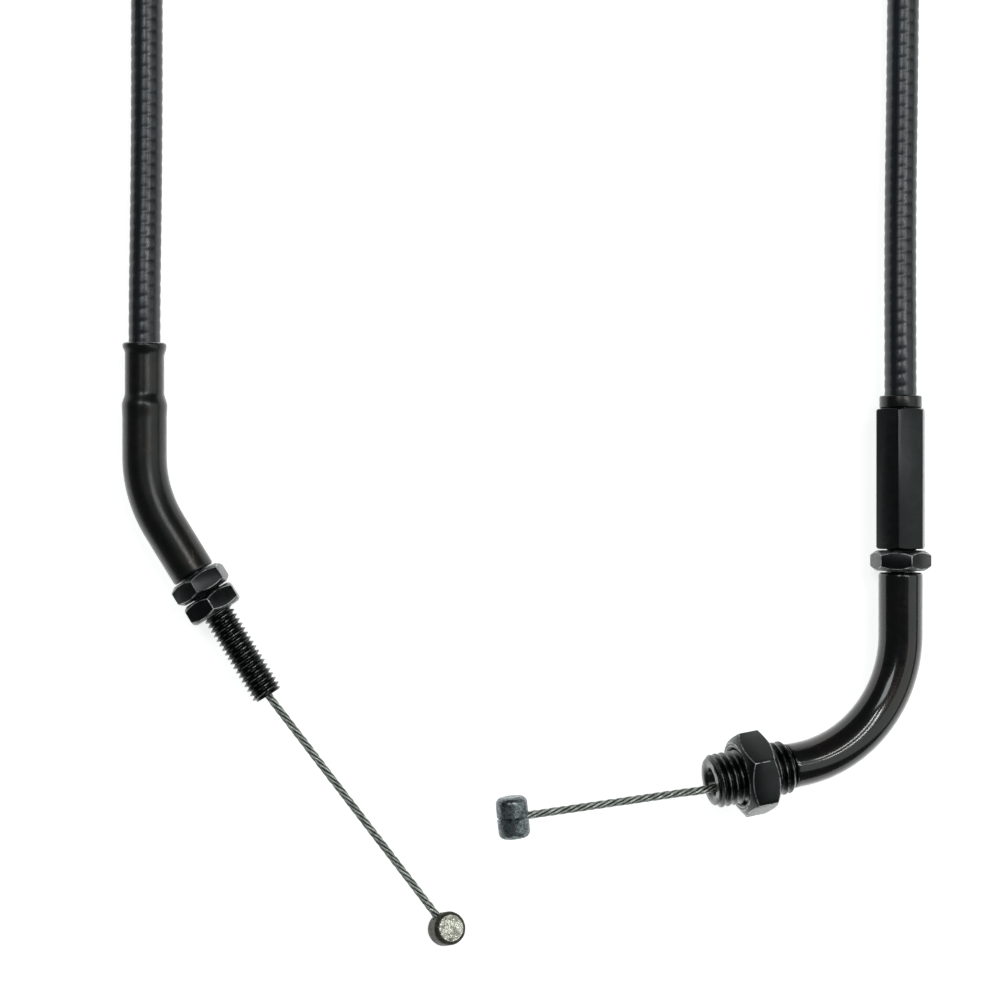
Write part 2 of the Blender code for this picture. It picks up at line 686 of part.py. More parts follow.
SHEATH = material("sheath_pvc", (0.012, 0.014, 0.018), 0.38, 0.0)
BLACK_STEEL = material("black_zinc_steel", (0.018, 0.018, 0.017), 0.3, 0.9)
BLACK_OXIDE = material("black_oxide_steel", (0.014, 0.015, 0.017), 0.42, 0.8)
ZINC = material("cast_zinc", (0.16, 0.17, 0.17), 0.45, 0.9)
WIRE_ROPE = material("galvanised_wire", (0.42, 0.43, 0.41), 0.32, 1.0)
SPRING_STEEL = material("spring_steel", (0.3, 0.3, 0.3), 0.35, 1.0)
NYLON = material("liner_nylon", (0.75, 0.74, 0.7), 0.5, 0.0)
TIE_NYLON = material("tie_nylon", (0.02, 0.02, 0.02), 0.5, 0.0)

adjuster_joint = joint("adjuster_axis", leg_frame(SHOULDER_Y).translation, ALONG_LEG)
lock_nut_joint = joint("lock_nut_axis", leg_frame(SHOULDER_Y).translation, ALONG_LEG)
elbow_joint = joint("elbow_slide", THROTTLE_CORNER, -ALONG_LEG)
jam_nut_joint = joint("jam_nut_slide", SLEEVE_MOUTH, SLEEVE_AXIS)
throttle_joint = joint("throttle_wire_slide", THROTTLE_WIRE_MOUTH, THROTTLE_WIRE_AXIS)
carb_joint = joint("carb_wire_slide", CARB_MOUTH, CARB_WIRE_AXIS)
inner_nut_joint = joint("carb_inner_nut_slide", CARB_CORNER, CARB_AXIS)
outer_nut_joint = joint("carb_outer_nut_slide", CARB_CORNER, CARB_AXIS)

make_elbow(elbow_joint)
make_elbow_liner(elbow_joint)
make_sleeve(elbow_joint)
make_adjuster_stem(elbow_joint)
make_jam_nut(jam_nut_joint)
make_lock_nut(lock_nut_joint)
make_adjuster(adjuster_joint)
make_throttle_ferrule()
make_spiral_ends()
make_throttle_wire(throttle_joint)
make_throttle_barrel(throttle_joint)
make_carb_tube()
make_carb_stem()
inner_start = CARB_TUBE_END + GAP
make_carb_nut("carb_inner_nut", inner_start, INNER_NUT_ROLL, inner_nut_joint)
outer_start = inner_start + CARB_NUT_THICK + GAP
make_carb_nut("carb_outer_nut", outer_start, OUTER_NUT_ROLL, outer_nut_joint)
make_carb_wire(carb_joint)
make_carb_barrel(carb_joint)
make_legs()
make_coil()
make_ties()
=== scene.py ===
# %% [markdown]
# # A motorcycle throttle cable
#
# The object is a Bowden cable: a wire rope that slides inside a sheathed steel conduit. One end
# goes to the throttle grip, through a long adjuster and a curved metal elbow, and the other end to
# the carburettor, through a crimped bent tube with a threaded stem. The CAD model gives every
# piece its size and place, and this script gives each one its real surface.
#
# Every length below is in metres, and `MM` turns a size that a maker would give in millimetres
# into metres.

# %% Load the frame
import math

import bmesh
import bpy
from mathutils import Matrix, Vector, noise


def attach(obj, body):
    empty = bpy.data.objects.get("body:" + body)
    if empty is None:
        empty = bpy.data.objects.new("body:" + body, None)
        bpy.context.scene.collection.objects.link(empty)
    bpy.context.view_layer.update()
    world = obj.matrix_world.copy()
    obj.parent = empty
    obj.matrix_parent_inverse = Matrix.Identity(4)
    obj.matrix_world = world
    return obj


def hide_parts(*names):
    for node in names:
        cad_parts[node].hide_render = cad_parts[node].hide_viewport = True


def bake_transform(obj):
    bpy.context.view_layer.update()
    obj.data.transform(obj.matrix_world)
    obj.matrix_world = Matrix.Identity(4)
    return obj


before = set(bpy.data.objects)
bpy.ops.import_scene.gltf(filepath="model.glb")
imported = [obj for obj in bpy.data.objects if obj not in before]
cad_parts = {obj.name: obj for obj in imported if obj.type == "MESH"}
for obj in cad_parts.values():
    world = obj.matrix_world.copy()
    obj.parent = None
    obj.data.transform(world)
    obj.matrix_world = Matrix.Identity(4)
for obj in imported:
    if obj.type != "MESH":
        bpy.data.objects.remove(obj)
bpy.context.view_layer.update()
MM = 0.001
UP = Vector((0, 0, 1))
print("CAD nodes:", len(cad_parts))

# %% [markdown]
# ## Camera
#
# The cable lies flat on a pale table and is seen from straight above, so the camera needs no
# turn at all: an unturned Blender camera already looks down. The lens follows from the height
# and from how much of the table has to be in view.

# %% Place the camera
VIEW_CENTRE = Vector((-5.0, 27.4, 5.0)) * MM
VIEW_HEIGHT = 400 * MM
VIEW_WIDTH = 188.7 * MM
SENSOR = 36.0

camera = bpy.data.objects.new("camera", bpy.data.cameras.new("camera"))
camera.data.sensor_width = SENSOR
camera.data.lens = SENSOR * VIEW_HEIGHT / VIEW_WIDTH
camera.data.clip_start = 0.01
camera.location = VIEW_CENTRE + UP * VIEW_HEIGHT
bpy.context.scene.collection.objects.link(camera)
bpy.context.scene.camera = camera
print("lens in mm:", round(camera.data.lens, 1))

# %% [markdown]
# ## Helpers for node trees and colours
#
# Shader trees and geometry trees are built the same way, so one small function serves both: it
# adds a node, changes its settings, and fills or links its inputs. Colours are written as the
# sRGB hex values that a colour picker shows, and Blender needs them linear.


# %% Node and colour helpers
def add(tree, kind, inputs=None, **settings):
    """Adds a node; an input is given a value, or is linked when the value is a socket."""
    node = tree.nodes.new(kind)
    for key, value in settings.items():
        setattr(node, key, value)
    for key, value in (inputs or {}).items():
        if isinstance(value, bpy.types.NodeSocket):
            tree.links.new(value, node.inputs[key])
        else:
            node.inputs[key].default_value = value
    return node


def colour(hex_value):
    """Linear RGBA from an sRGB hex string."""
    parts = [int(hex_value[i : i + 2], 16) / 255 for i in (1, 3, 5)]
    linear = [c / 12.92 if c <= 0.04045 else ((c + 0.055) / 1.055) ** 2.4 for c in parts]
    return (*linear, 1.0)


def start_material(name, **values):
    """A new material with its Principled shader's uniform sockets set."""
    made = bpy.data.materials.new(name)
    made.use_nodes = True
    shader = made.node_tree.nodes["Principled BSDF"]
    for key, value in values.items():
        shader.inputs[key.replace("_", " ")].default_value = value
    return made, made.node_tree, shader


print("mid grey is linear", [round(c, 3) for c in colour("#808080")[:3]])

# %% [markdown]
# ## Table and studio light
#
# Dark glossy metal is shaped by what it mirrors, and a bright sky would turn it grey. So the room is
# dim, and the table is a plain white sheet lit from below, which keeps shadows faint. The lamps are
# soft panels and two tubes. A panel behind and to the left draws the soft band along the conduit,
# and panels to the right and in front light the right-hand and near faces of the hexagons while
# their other faces stay black. The tubes draw the thin paired lines on the elbow: each one hangs
# where the elbow's normals, along the line that it draws, mirror the camera.


# %% Floor, world and lamps
def in_scene(name, data):
    """A new object of the scene that shows the data."""
    made = bpy.data.objects.new(name, data)
    bpy.context.scene.collection.objects.link(made)
    return made


floor_mesh = bpy.data.meshes.new("floor")
work = bmesh.new()
bmesh.ops.create_grid(work, x_segments=1, y_segments=1, size=3.0)
work.to_mesh(floor_mesh)
work.free()
floor = in_scene("floor", floor_mesh)
table_top, *_ = start_material(
    "lit_table_acrylic",
    Base_Color=colour("#f4f4f2"),
    Roughness=0.9,
    Emission_Color=colour("#ffffff"),
    Emission_Strength=0.76,
)
floor_mesh.materials.append(table_top)

world = bpy.data.worlds.new("studio")
world.use_nodes = True
background = world.node_tree.nodes["Background"]
background.inputs["Color"].default_value = colour("#e6eef2")
background.inputs["Strength"].default_value = 0.11
bpy.context.scene.world = world
bpy.context.scene.view_settings.view_transform = "Standard"


def lamp(name, place, turn, size, power):
    """An area lamp of one side's size at a place, turned by Euler angles."""
    made = in_scene(name, bpy.data.lights.new(name, "AREA"))
    made.data.size = size
    made.data.energy = power
    made.location = place
    made.rotation_euler = turn
    return made.data


def panel(name, place, size, power, tint="#ffffff"):
    """A soft square panel that faces the middle of the fittings."""
    aim = Vector((0, 0.02, 0)) - Vector(place)
    light = lamp(name, place, aim.to_track_quat("-Z", "Y").to_euler(), size, power)
    light.color = colour(tint)[:3]


def tube_lamp(name, first, second, power):
    """A lamp tube from one place to another, facing straight down."""
    run = Vector(second) - Vector(first)
    middle = (*((Vector(first) + Vector(second)) / 2), LAMP_HEIGHT)
    light = lamp(name, middle, (0, 0, math.atan2(run.y, run.x)), run.length, power)
    light.shape = "RECTANGLE"
    light.size_y = LAMP_TUBE_WIDTH


LAMP_HEIGHT = 1.2
LAMP_TUBE_WIDTH = 0.035

panel("behind", (-0.3, 0.5, LAMP_HEIGHT), 0.42, 3.0, "#eaf2f4")
tube_lamp("tube_behind", (0.1, 0.53), (0.85, 0.47), 2.6)
tube_lamp("tube_right", (0.3, 0.33), (0.88, 0.15), 2.0)
panel("right", (0.9, -0.05, 0.6), 0.9, 2.6, "#eef6f2")
panel("front_low", (0.15, -1.1, 0.35), 0.5, 1.5)

# %% [markdown]
# ## Conduit sheath: black PVC
#
# The sheath is soft black PVC pushed hot through a round die over the steel winding. The die
# leaves a satin skin with faint lines along the length, and handling leaves paler dusty patches.
# The tube carries its distance along and its turn around as an attribute, so the lines follow the
# cable round every curve, which a pattern in plain space could not do.


# %% PVC sheath material
def mixed(tree, factor, first, second):
    """One colour blended into another by a factor; 0, 6 and 7 are the node's colour sockets."""
    inputs = {0: factor, 6: first, 7: second}
    return add(tree, "ShaderNodeMix", inputs, data_type="RGBA").outputs[2]


def ramp(tree, value, low, high, to_low=0.0, to_high=1.0):
    """A smooth step of a value socket from low to high."""
    inputs = {
        "Value": value,
        "From Min": low,
        "From Max": high,
        "To Min": to_low,
        "To Max": to_high,
    }
    return add(tree, "ShaderNodeMapRange", inputs, interpolation_type="SMOOTHSTEP").outputs[0]


def noise_on(tree, vector, size, detail=3.0, roughness=0.55):
    """Noise whose features are about this size, in metres."""
    inputs = {"Vector": vector, "Scale": 1 / size, "Detail": detail, "Roughness": roughness}
    return add(tree, "ShaderNodeTexNoise", inputs).outputs[0]


def object_space(tree, stretch=(1, 1, 1), turn=(0, 0, 0)):
    """Object coordinates, stretched and turned for a pattern with a direction."""
    place = add(tree, "ShaderNodeTexCoord").outputs["Object"]
    inputs = {"Vector": place, "Scale": stretch, "Rotation": turn}
    return add(tree, "ShaderNodeMapping", inputs).outputs[0]


def bump(tree, shader, height, distance, strength=1.0):
    inputs = {"Height": height, "Distance": distance, "Strength": strength}
    node = add(tree, "ShaderNodeBump", inputs)
    tree.links.new(node.outputs[0], shader.inputs["Normal"])


WINDING_PITCH = 2.3 * MM

sheath_pvc, tree, shader = start_material("extruded_pvc_sheath", IOR=1.53, Specular_IOR_Level=0.6)
wrap = add(tree, "ShaderNodeAttribute", attribute_name="wrap").outputs["Vector"]
die_space = add(tree, "ShaderNodeMapping", {"Vector": wrap, "Scale": (0.02, 1, 1)}).outputs[0]
die_lines = noise_on(tree, die_space, 0.35 * MM, 2.0)
dust = noise_on(tree, object_space(tree), 9 * MM, 5.0, 0.62)
dusty = ramp(tree, dust, 0.5, 0.75)
shade = mixed(tree, dusty, colour("#0b151a"), colour("#19252b"))
tree.links.new(shade, shader.inputs["Base Color"])
satin = ramp(tree, die_lines, 0.3, 0.7, 0.26, 0.38)
tree.links.new(satin, shader.inputs["Roughness"])
bump(tree, shader, die_lines, 0.02 * MM, 0.5)
print("made", sheath_pvc.name)

# %% [markdown]
# ## The conduit, one long cord
#
# The conduit is one length of sheathed flat-wire winding. Its middle, which is the stretch between
# the two fittings, is put away as one and a half turns of a round coil, because the steel winding
# is too stiff for a small one. The route is a list of points along the two legs and
# a loop for the turns, and a Catmull-Rom curve joins them smoothly.

# %% Conduit route
CONDUIT_D = 6.0 * MM
CARB_LEG = [
    (-71.95, 47.5, 5.752),
    (-71.95, 57.0, 5.752),
    (-71.95, 68.0, 5.4),
    (-71.95, 82.0, 4.2),
    (-71.95, 98.0, 3.3),
    (-71.95, 116.0, 3.1),
    (-71.95, 134.0, 3.1),
    (-71.95, 151.0, 3.3),
    (-71.95, 168.0, 3.9),
]
THROTTLE_LEG = [
    (71.55, 168.0, 9.0),
    (71.55, 152.0, 6.2),
    (71.5, 136.0, 3.9),
    (71.4, 119.0, 3.1),
    (71.2, 102.0, 3.1),
    (70.9, 86.0, 3.5),
    (70.6, 71.0, 4.7),
    (70.45, 58.0, 5.6),
    (70.45, 45.5, 5.774),
]
COIL_MIDDLE = Vector((-0.2, 199.2, 0)) * MM
COIL_RADIUS = 71.75 * MM
COIL_LOW_Z = 4.3 * MM
COIL_RISE_FROM = -60
COIL_RISE_TO = -170


def coil_point(degrees):
    """A point of the coil; the second turn climbs onto the first after most of a turn."""
    angle = math.radians(degrees)
    climb = (degrees - COIL_RISE_FROM) / (COIL_RISE_TO - COIL_RISE_FROM)
    climb = min(max(climb, 0), 1)
    climb = climb * climb * (3 - 2 * climb)
    level = UP * (COIL_LOW_Z + CONDUIT_D * climb)
    return COIL_MIDDLE + Vector((math.cos(angle), math.sin(angle), 0)) * COIL_RADIUS + level


def smooth_path(points, steps):
    """Points on a Catmull-Rom curve through the given ones."""
    places = [Vector(p) for p in points]
    places = [places[0] * 2 - places[1]] + places + [places[-1] * 2 - places[-2]]
    found = []
    for before, start, end, after in zip(places, places[1:], places[2:], places[3:]):
        for step in range(steps):
            t = step / steps
            square = (before * 2 - start * 5 + end * 4 - after) * t**2
            cube = (start * 3 - before - end * 3 + after) * t**3
            found.append((start * 2 + (end - before) * t + square + cube) / 2)
    return found + [places[-2]]


def path_length(points):
    return sum((b - a).length for a, b in zip(points, points[1:]))


route = [Vector(p) * MM for p in CARB_LEG]
route += [coil_point(degrees) for degrees in range(180, -361, -15)]
route += [Vector(p) * MM for p in THROTTLE_LEG]
conduit_path = smooth_path(route, 8)

# %% [markdown]
# ## Geometry Nodes: the wound conduit
#
# Under the soft sheath lies a flat steel wire wound like a spring, and its edges print through as a
# fine helical rib every 2.3 mm. That shape follows one rule along one path, which is just what
# Geometry Nodes are for: resample the path, sweep a circle along it, and push every point in by a wave
# of its distance along and its turn around. The tree also stores both for the material.


# %% Helpers for geometry trees
def geometry_tree(name, inputs):
    """A geometry tree with a Geometry input and output and the given (name, type) inputs."""
    tree = bpy.data.node_groups.new(name, "GeometryNodeTree")
    face = tree.interface
    face.new_socket("Geometry", in_out="INPUT", socket_type="NodeSocketGeometry")
    for label, kind in inputs:
        face.new_socket(label, in_out="INPUT", socket_type=kind)
    face.new_socket("Geometry", in_out="OUTPUT", socket_type="NodeSocketGeometry")
    return tree, tree.nodes.new("NodeGroupInput"), tree.nodes.new("NodeGroupOutput")


def plain_curve(name, points):
    """A poly curve object through the points."""
    data = bpy.data.curves.new(name, "CURVE")
    data.dimensions = "3D"
    spline = data.splines.new("POLY")
    spline.points.add(len(points) - 1)
    for point, place in zip(spline.points, points):
        point.co = (*place, 1)
    return in_scene(name, data)


def applied(item):
    """The mesh that the item's modifiers give; the item goes."""
    graph = bpy.context.evaluated_depsgraph_get()
    graph.update()
    mesh = bpy.data.meshes.new_from_object(item.evaluated_get(graph), depsgraph=graph)
    item.modifiers.clear()
    bpy.data.objects.remove(item, do_unlink=True)
    return mesh


def grown(source, tree, values):
    """The mesh that a geometry tree makes from an object; the object goes."""
    modifier = source.modifiers.new("nodes", "NODES")
    modifier.node_group = tree
    sockets = {item.name: item.identifier for item in tree.interface.items_tree if item.in_out == "INPUT"}
    for label, value in values.items():
        modifier[sockets[label]] = value
    return applied(source)


def math_node(tree, operation, first, second=0.0):
    return add(tree, "ShaderNodeMath", {0: first, 1: second}, operation=operation).outputs[0]


def evenly_spaced(tree, into):
    """The tree's own curve, resampled to its Ring Spacing, and the distance along it."""
    inputs = {"Curve": into.outputs["Geometry"], "Length": into.outputs["Ring Spacing"]}
    rings = add(tree, "GeometryNodeResampleCurve", inputs, mode="LENGTH")
    return rings.outputs[0], add(tree, "GeometryNodeSplineParameter").outputs["Length"]


def captured(tree, geometry, name, value):
    """The geometry with a float captured on its points, and the socket that gives the float."""
    node = add(tree, "GeometryNodeCaptureAttribute", {"Geometry": geometry})
    node.capture_items.new("FLOAT", name)
    tree.links.new(value, node.inputs[name])
    return node.outputs[0], node.outputs[name]


def swept(tree, line, section):
    """The capped surface that a section makes along a line."""
    inputs = {"Curve": line, "Profile Curve": section, "Fill Caps": True}
    return add(tree, "GeometryNodeCurveToMesh", inputs).outputs[0]


def finish_tree(tree, into, out, geometry, name, value, kind):
    """Stores a named attribute, makes the geometry real, gives it its material and ends the tree."""
    inputs = {"Geometry": geometry, "Name": name, "Value": value}
    stored = add(tree, "GeometryNodeStoreNamedAttribute", inputs, data_type=kind, domain="POINT")
    real = add(tree, "GeometryNodeRealizeInstances", {"Geometry": stored.outputs[0]})
    inputs = {"Geometry": real.outputs[0], "Material": into.outputs["Material"]}
    tree.links.new(add(tree, "GeometryNodeSetMaterial", inputs).outputs[0], out.inputs[0])


print("points along the conduit:", len(conduit_path))

# %% Conduit tree
GROOVE_SHARPNESS = 3.0

tree, into, out = geometry_tree(
    "wound_conduit",
    [
        ("Diameter", "NodeSocketFloat"),
        ("Winding Pitch", "NodeSocketFloat"),
        ("Groove Depth", "NodeSocketFloat"),
        ("Ring Spacing", "NodeSocketFloat"),
        ("Sides", "NodeSocketInt"),
        ("Material", "NodeSocketMaterial"),
    ],
)
line, along = evenly_spaced(tree, into)
line, along = captured(tree, line, "Along", along)
diameter = into.outputs["Diameter"]
radius = math_node(tree, "MULTIPLY", diameter, 0.5)
section = add(
    tree, "GeometryNodeCurvePrimitiveCircle", {"Resolution": into.outputs["Sides"], "Radius": radius}
)
around = add(tree, "GeometryNodeSplineParameter").outputs["Factor"]
section, around = captured(tree, section.outputs[0], "Around", around)
tube = swept(tree, line, section)
turns = math_node(tree, "DIVIDE", along, into.outputs["Winding Pitch"])
phase = math_node(tree, "SUBTRACT", turns, around)
wave = math_node(tree, "COSINE", math_node(tree, "MULTIPLY", phase, 2 * math.pi))
rounded = math_node(tree, "MULTIPLY", math_node(tree, "ADD", wave, 1.0), 0.5)
groove = math_node(tree, "POWER", rounded, GROOVE_SHARPNESS)
depth = math_node(tree, "MULTIPLY", groove, math_node(tree, "MULTIPLY", into.outputs["Groove Depth"], -1.0))
normal = add(tree, "GeometryNodeInputNormal").outputs[0]
inward = add(tree, "ShaderNodeVectorMath", {0: normal, "Scale": depth}, operation="SCALE")
ribbed = add(tree, "GeometryNodeSetPosition", {"Geometry": tube, "Offset": inward.outputs[0]})
girth = math_node(tree, "MULTIPLY", diameter, math.pi)
wrap = add(tree, "ShaderNodeCombineXYZ", {0: along, 1: math_node(tree, "MULTIPLY", around, girth)})
finish_tree(tree, into, out, ribbed.outputs[0], "wrap", wrap.outputs[0], "FLOAT_VECTOR")
wound_conduit = tree
print("conduit tree nodes:", len(wound_conduit.nodes))

# %% [markdown]
# ## Turning a mesh into a finished piece
#
# Every piece ends the same way: its mesh is welded, its normals are made to point out, it is shaded
# smooth but for its real edges, and it is put at the origin with its place in its mesh. Then it is
# hung on its body, if it has one, the CAD solids that it replaces are hidden, and it gets its finish.


# %% Finish a piece
def settle(mesh, weld=0.0005 * MM):
    """Welds a mesh and turns its faces outwards."""
    work = bmesh.new()
    work.from_mesh(mesh)
    bmesh.ops.remove_doubles(work, verts=work.verts, dist=weld)
    bmesh.ops.recalc_face_normals(work, faces=work.faces)
    work.to_mesh(mesh)
    work.free()
    return mesh


def finish_piece(name, mesh, materials, body, nodes, sharp=35):
    """A finished piece that rides on a body and has a material slot; the CAD nodes it replaces are hidden.
    """
    mesh.name = name
    if materials:
        mesh.materials.clear()
        for item in materials:
            mesh.materials.append(item)
    mesh.shade_smooth()
    mesh.set_sharp_from_angle(angle=math.radians(sharp))
    made = in_scene(name, mesh)
    if body:
        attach(made, body)
    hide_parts(*nodes)
    count = sum(len(p.vertices) - 2 for p in mesh.polygons)
    print(name, "triangles:", count)
    return made


# %% Make the conduit
mesh = grown(
    plain_curve("conduit_route", conduit_path),
    wound_conduit,
    {
        "Diameter": CONDUIT_D,
        "Winding Pitch": WINDING_PITCH,
        "Groove Depth": 0.07 * MM,
        "Ring Spacing": WINDING_PITCH / 8,
        "Sides": 20,
        "Material": sheath_pvc,
    },
)
conduit = finish_piece(
    "conduit_sheath",
    settle(mesh),
    [sheath_pvc],
    "conduit",
    ["conduit_leg_carb", "conduit_leg_throttle", "conduit_coil"],
    sharp=60,
)

# %% [markdown]
# ## Nylon ties round the coil
#
# Three cable ties hold the turns together. A tie is one moulded nylon piece: a thin ribbed strap, a
# square head with a slot, and a short cut tail. The strap is a band swept round a rounded
# rectangle, the teeth are a comb of small blocks along the tail, and moulded nylon has a
# fine matt grain.

# %% Nylon material
tie_nylon, tree, shader = start_material("moulded_black_nylon", IOR=1.53, Specular_IOR_Level=0.4)
grain = noise_on(tree, object_space(tree), 0.25 * MM, 4.0)
cloud = noise_on(tree, object_space(tree), 4 * MM, 2.0)
shade = mixed(tree, cloud, colour("#141516"), colour("#232526"))
tree.links.new(shade, shader.inputs["Base Color"])
tree.links.new(ramp(tree, grain, 0.3, 0.7, 0.42, 0.58), shader.inputs["Roughness"])
bump(tree, shader, grain, 0.02 * MM, 0.6)
print("made", tie_nylon.name)


# %% Meshes from rings
def circle(radius, z, sides):
    """Points round local Z, at one height."""
    angles = [2 * math.pi * step / sides for step in range(sides)]
    return [Vector((radius * math.cos(angle), radius * math.sin(angle), z)) for angle in angles]


def join_rings(work, rows):
    """Faces from each closed row of vertices to the next."""
    for first, second in zip(rows, rows[1:]):
        for i in range(len(first)):
            j = (i + 1) % len(first)
            work.faces.new((first[i], first[j], second[j], second[i]))


def ring_mesh(rings, loop=False):
    """A surface through rings of points; it closes on itself, or has a flat cap at each end."""
    work = bmesh.new()
    rows = [[work.verts.new(p) for p in ring] for ring in rings]
    join_rings(work, rows + rows[:1] if loop else rows)
    if not loop:
        work.faces.new(rows[0][::-1])
        work.faces.new(rows[-1])
    mesh = bpy.data.meshes.new("rings")
    work.to_mesh(mesh)
    work.free()
    return settle(mesh)


def joined(*meshes):
    """Several meshes as one."""
    work = bmesh.new()
    for mesh in meshes:
        work.from_mesh(mesh)
    made = bpy.data.meshes.new("joined")
    work.to_mesh(made)
    work.free()
    return made


def rounded_block(size, place, radius, segments=3):
    """A block with rounded edges."""
    work = bmesh.new()
    bmesh.ops.create_cube(work, size=1, matrix=Matrix.Diagonal((*size, 1)))
    bmesh.ops.bevel(
        work, geom=work.edges[:], offset=radius, segments=segments, profile=0.5, affect="EDGES"
    )
    bmesh.ops.transform(work, matrix=place, verts=work.verts)
    mesh = bpy.data.meshes.new("block")
    work.to_mesh(mesh)
    work.free()
    return mesh


# %% Cable ties
TIE_WIDTH = 4.6 * MM
TIE_THICK = 1.0 * MM
TIE_CLEARANCE = 0.3 * MM
TIE_ANGLES = (25, 90, 155)
TOOTH_PITCH = 1.0 * MM


def strap_outline():
    """The strap's centre line round the two stacked turns: a rounded rectangle, as (out, up)."""
    half_wide = CONDUIT_D / 2 + TIE_CLEARANCE + TIE_THICK / 2
    half_high = CONDUIT_D + TIE_CLEARANCE + TIE_THICK / 2
    radius = CONDUIT_D / 2
    points = []
    for quarter in range(4):
        side_x = 1 if quarter in (0, 3) else -1
        side_z = 1 if quarter in (0, 1) else -1
        for step in range(9):
            angle = math.radians(90 * quarter + 90 * step / 8)
            centre = ((half_wide - radius) * side_x, (half_high - radius) * side_z)
            points.append((centre[0] + radius * math.cos(angle), centre[1] + radius * math.sin(angle)))
    return points


def tie_mesh(place):
    """The strap with its teeth, its head and its cut tail."""
    rings = []
    line = strap_outline()
    for index, (x, z) in enumerate(line):
        before = line[index - 1]
        after = line[(index + 1) % len(line)]
        tangent = Vector((after[0] - before[0], after[1] - before[1])).normalized()
        normal = Vector((tangent.y, -tangent.x))
        half = TIE_THICK * 0.42
        edge = TIE_WIDTH / 2
        soft = 0.25 * MM
        section = [
            (half, -edge + soft),
            (half, edge - soft),
            (half - soft, edge),
            (-half + soft, edge),
            (-half, edge - soft),
            (-half, -edge + soft),
            (-half + soft, -edge),
            (half - soft, -edge),
        ]
        rings.append([place @ Vector((x + normal.x * u, v, z + normal.y * u)) for u, v in section])
    strap = ring_mesh(rings, loop=True)
    out = CONDUIT_D / 2 + TIE_CLEARANCE + TIE_THICK * 1.2
    head_place = place @ Matrix.Translation((out + 1.3 * MM, 0, 2.2 * MM))
    head = rounded_block((3.4 * MM, 6.6 * MM, 5.2 * MM), head_place, 0.5 * MM)
    rim_place = head_place @ Matrix.Translation((0, 0, 2.6 * MM))
    rim = rounded_block((2.4 * MM, 5.6 * MM, 0.8 * MM), rim_place, 0.25 * MM)
    tail_place = head_place @ Matrix.Translation((0, 0, 4.6 * MM))
    tail = rounded_block((0.9 * MM, TIE_WIDTH, 5.0 * MM), tail_place, 0.2 * MM)
    teeth = []
    for step in range(4):
        tooth_place = tail_place @ Matrix.Translation((0.5 * MM, 0, (step - 1.5) * TOOTH_PITCH))
        teeth.append(rounded_block((0.4 * MM, TIE_WIDTH * 0.6, 0.5 * MM), tooth_place, 0.1 * MM, 1))
    return joined(strap, head, rim, tail, *teeth)


for number, degrees in enumerate(TIE_ANGLES, start=1):
    angle = math.radians(degrees)
    middle = UP * (COIL_LOW_Z + CONDUIT_D / 2)
    at = COIL_MIDDLE + Vector((math.cos(angle), math.sin(angle), 0)) * COIL_RADIUS + middle
    place = Matrix.Translation(at) @ Matrix.Rotation(angle, 4, "Z")
    finish_piece(
            f"cable_tie_{number}",
            tie_mesh(place),
            [tie_nylon],
            "conduit",
            [f"coil_tie_{number}"],
        )

# %% [markdown]
# ## Black plated steel for the bent tubes
#
# The elbow and the crimped tube are drawn steel tube, bent cold, then zinc plated and dipped in a
# black chromate. The dip gives a thin glassy film that is brown where it is thick and bluish where
# it is thin, over a metal that mirrors its surroundings. Handling leaves hairline scratches. A
# hairline is made here from a slow noise: wherever it crosses its middle value, it draws a line. The
# crimping jaws dull the film on the other tube, so that one gets a softer finish of its own.


# %% Black zinc material
def hairlines(tree, vector, size, width):
    """Thin wandering lines where a slow noise crosses its middle value."""
    away = math_node(tree, "SUBTRACT", noise_on(tree, vector, size, 1.0), 0.5)
    return ramp(tree, math_node(tree, "ABSOLUTE", away), 0.0, width, 1.0, 0.0)


def scratched(tree, size, width, cover_size, cover):
    """Hairlines in two directions that show only in patches."""
    first = hairlines(tree, object_space(tree, (1, 0.25, 1), (0, 0, 0.5)), size, width)
    second = hairlines(tree, object_space(tree, (0.25, 1, 1), (0, 0.4, 0.9)), size, width)
    both = math_node(tree, "MAXIMUM", first, second)
    patches = ramp(tree, noise_on(tree, object_space(tree), cover_size, 2.0), cover, cover + 0.15)
    return math_node(tree, "MULTIPLY", both, patches)


def plated_steel(name, dark, tint, scratch, gloss, film, size):
    """Black steel with tinted clouds and hairlines; film is its clear coat's weight and roughness."""
    made, tree, shader = start_material(
        name, Metallic=0.8, Coat_Weight=film[0], Coat_Roughness=film[1]
    )
    clouds = ramp(tree, noise_on(tree, object_space(tree), size, 4.0, 0.6), 0.42, 0.68)
    shade = mixed(tree, clouds, colour(dark), colour(tint))
    lines = scratched(tree, 4 * MM, 0.004, 5 * MM, 0.6)
    tree.links.new(mixed(tree, lines, shade, colour(scratch)), shader.inputs["Base Color"])
    haze = noise_on(tree, object_space(tree), 1.2 * MM, 5.0, 0.65)
    tree.links.new(ramp(tree, haze, 0.3, 0.7, *gloss), shader.inputs["Roughness"])
    bump(tree, shader, noise_on(tree, object_space(tree), 0.5 * MM, 4.0, 0.7), 0.02 * MM, 0.7)
    return made


black_zinc = plated_steel(
    "black_chromated_zinc_tube", "#0c0c0c", "#1e1512", "#5a554f", (0.2, 0.36), (1.0, 0.1), 7 * MM
)
crimped_zinc = plated_steel(
    "black_chromated_zinc_crimp", "#0c0d0d", "#1d1915", "#6a655e", (0.3, 0.46), (0.7, 0.27), 5 * MM
)
print("made", black_zinc.name, crimped_zinc.name)

# %% [markdown]
# ## Black oxide on the machined hexagons
#
# The nuts and the adjuster are cut from hexagon bar and chemically blackened. Black oxide has no
# thickness to speak of, so the machined grain shows through it, it is duller than the plated tube,
# and it rubs off first at the corners. The corners get a finish of their own: bare worn steel in
# patches, with black left between them.

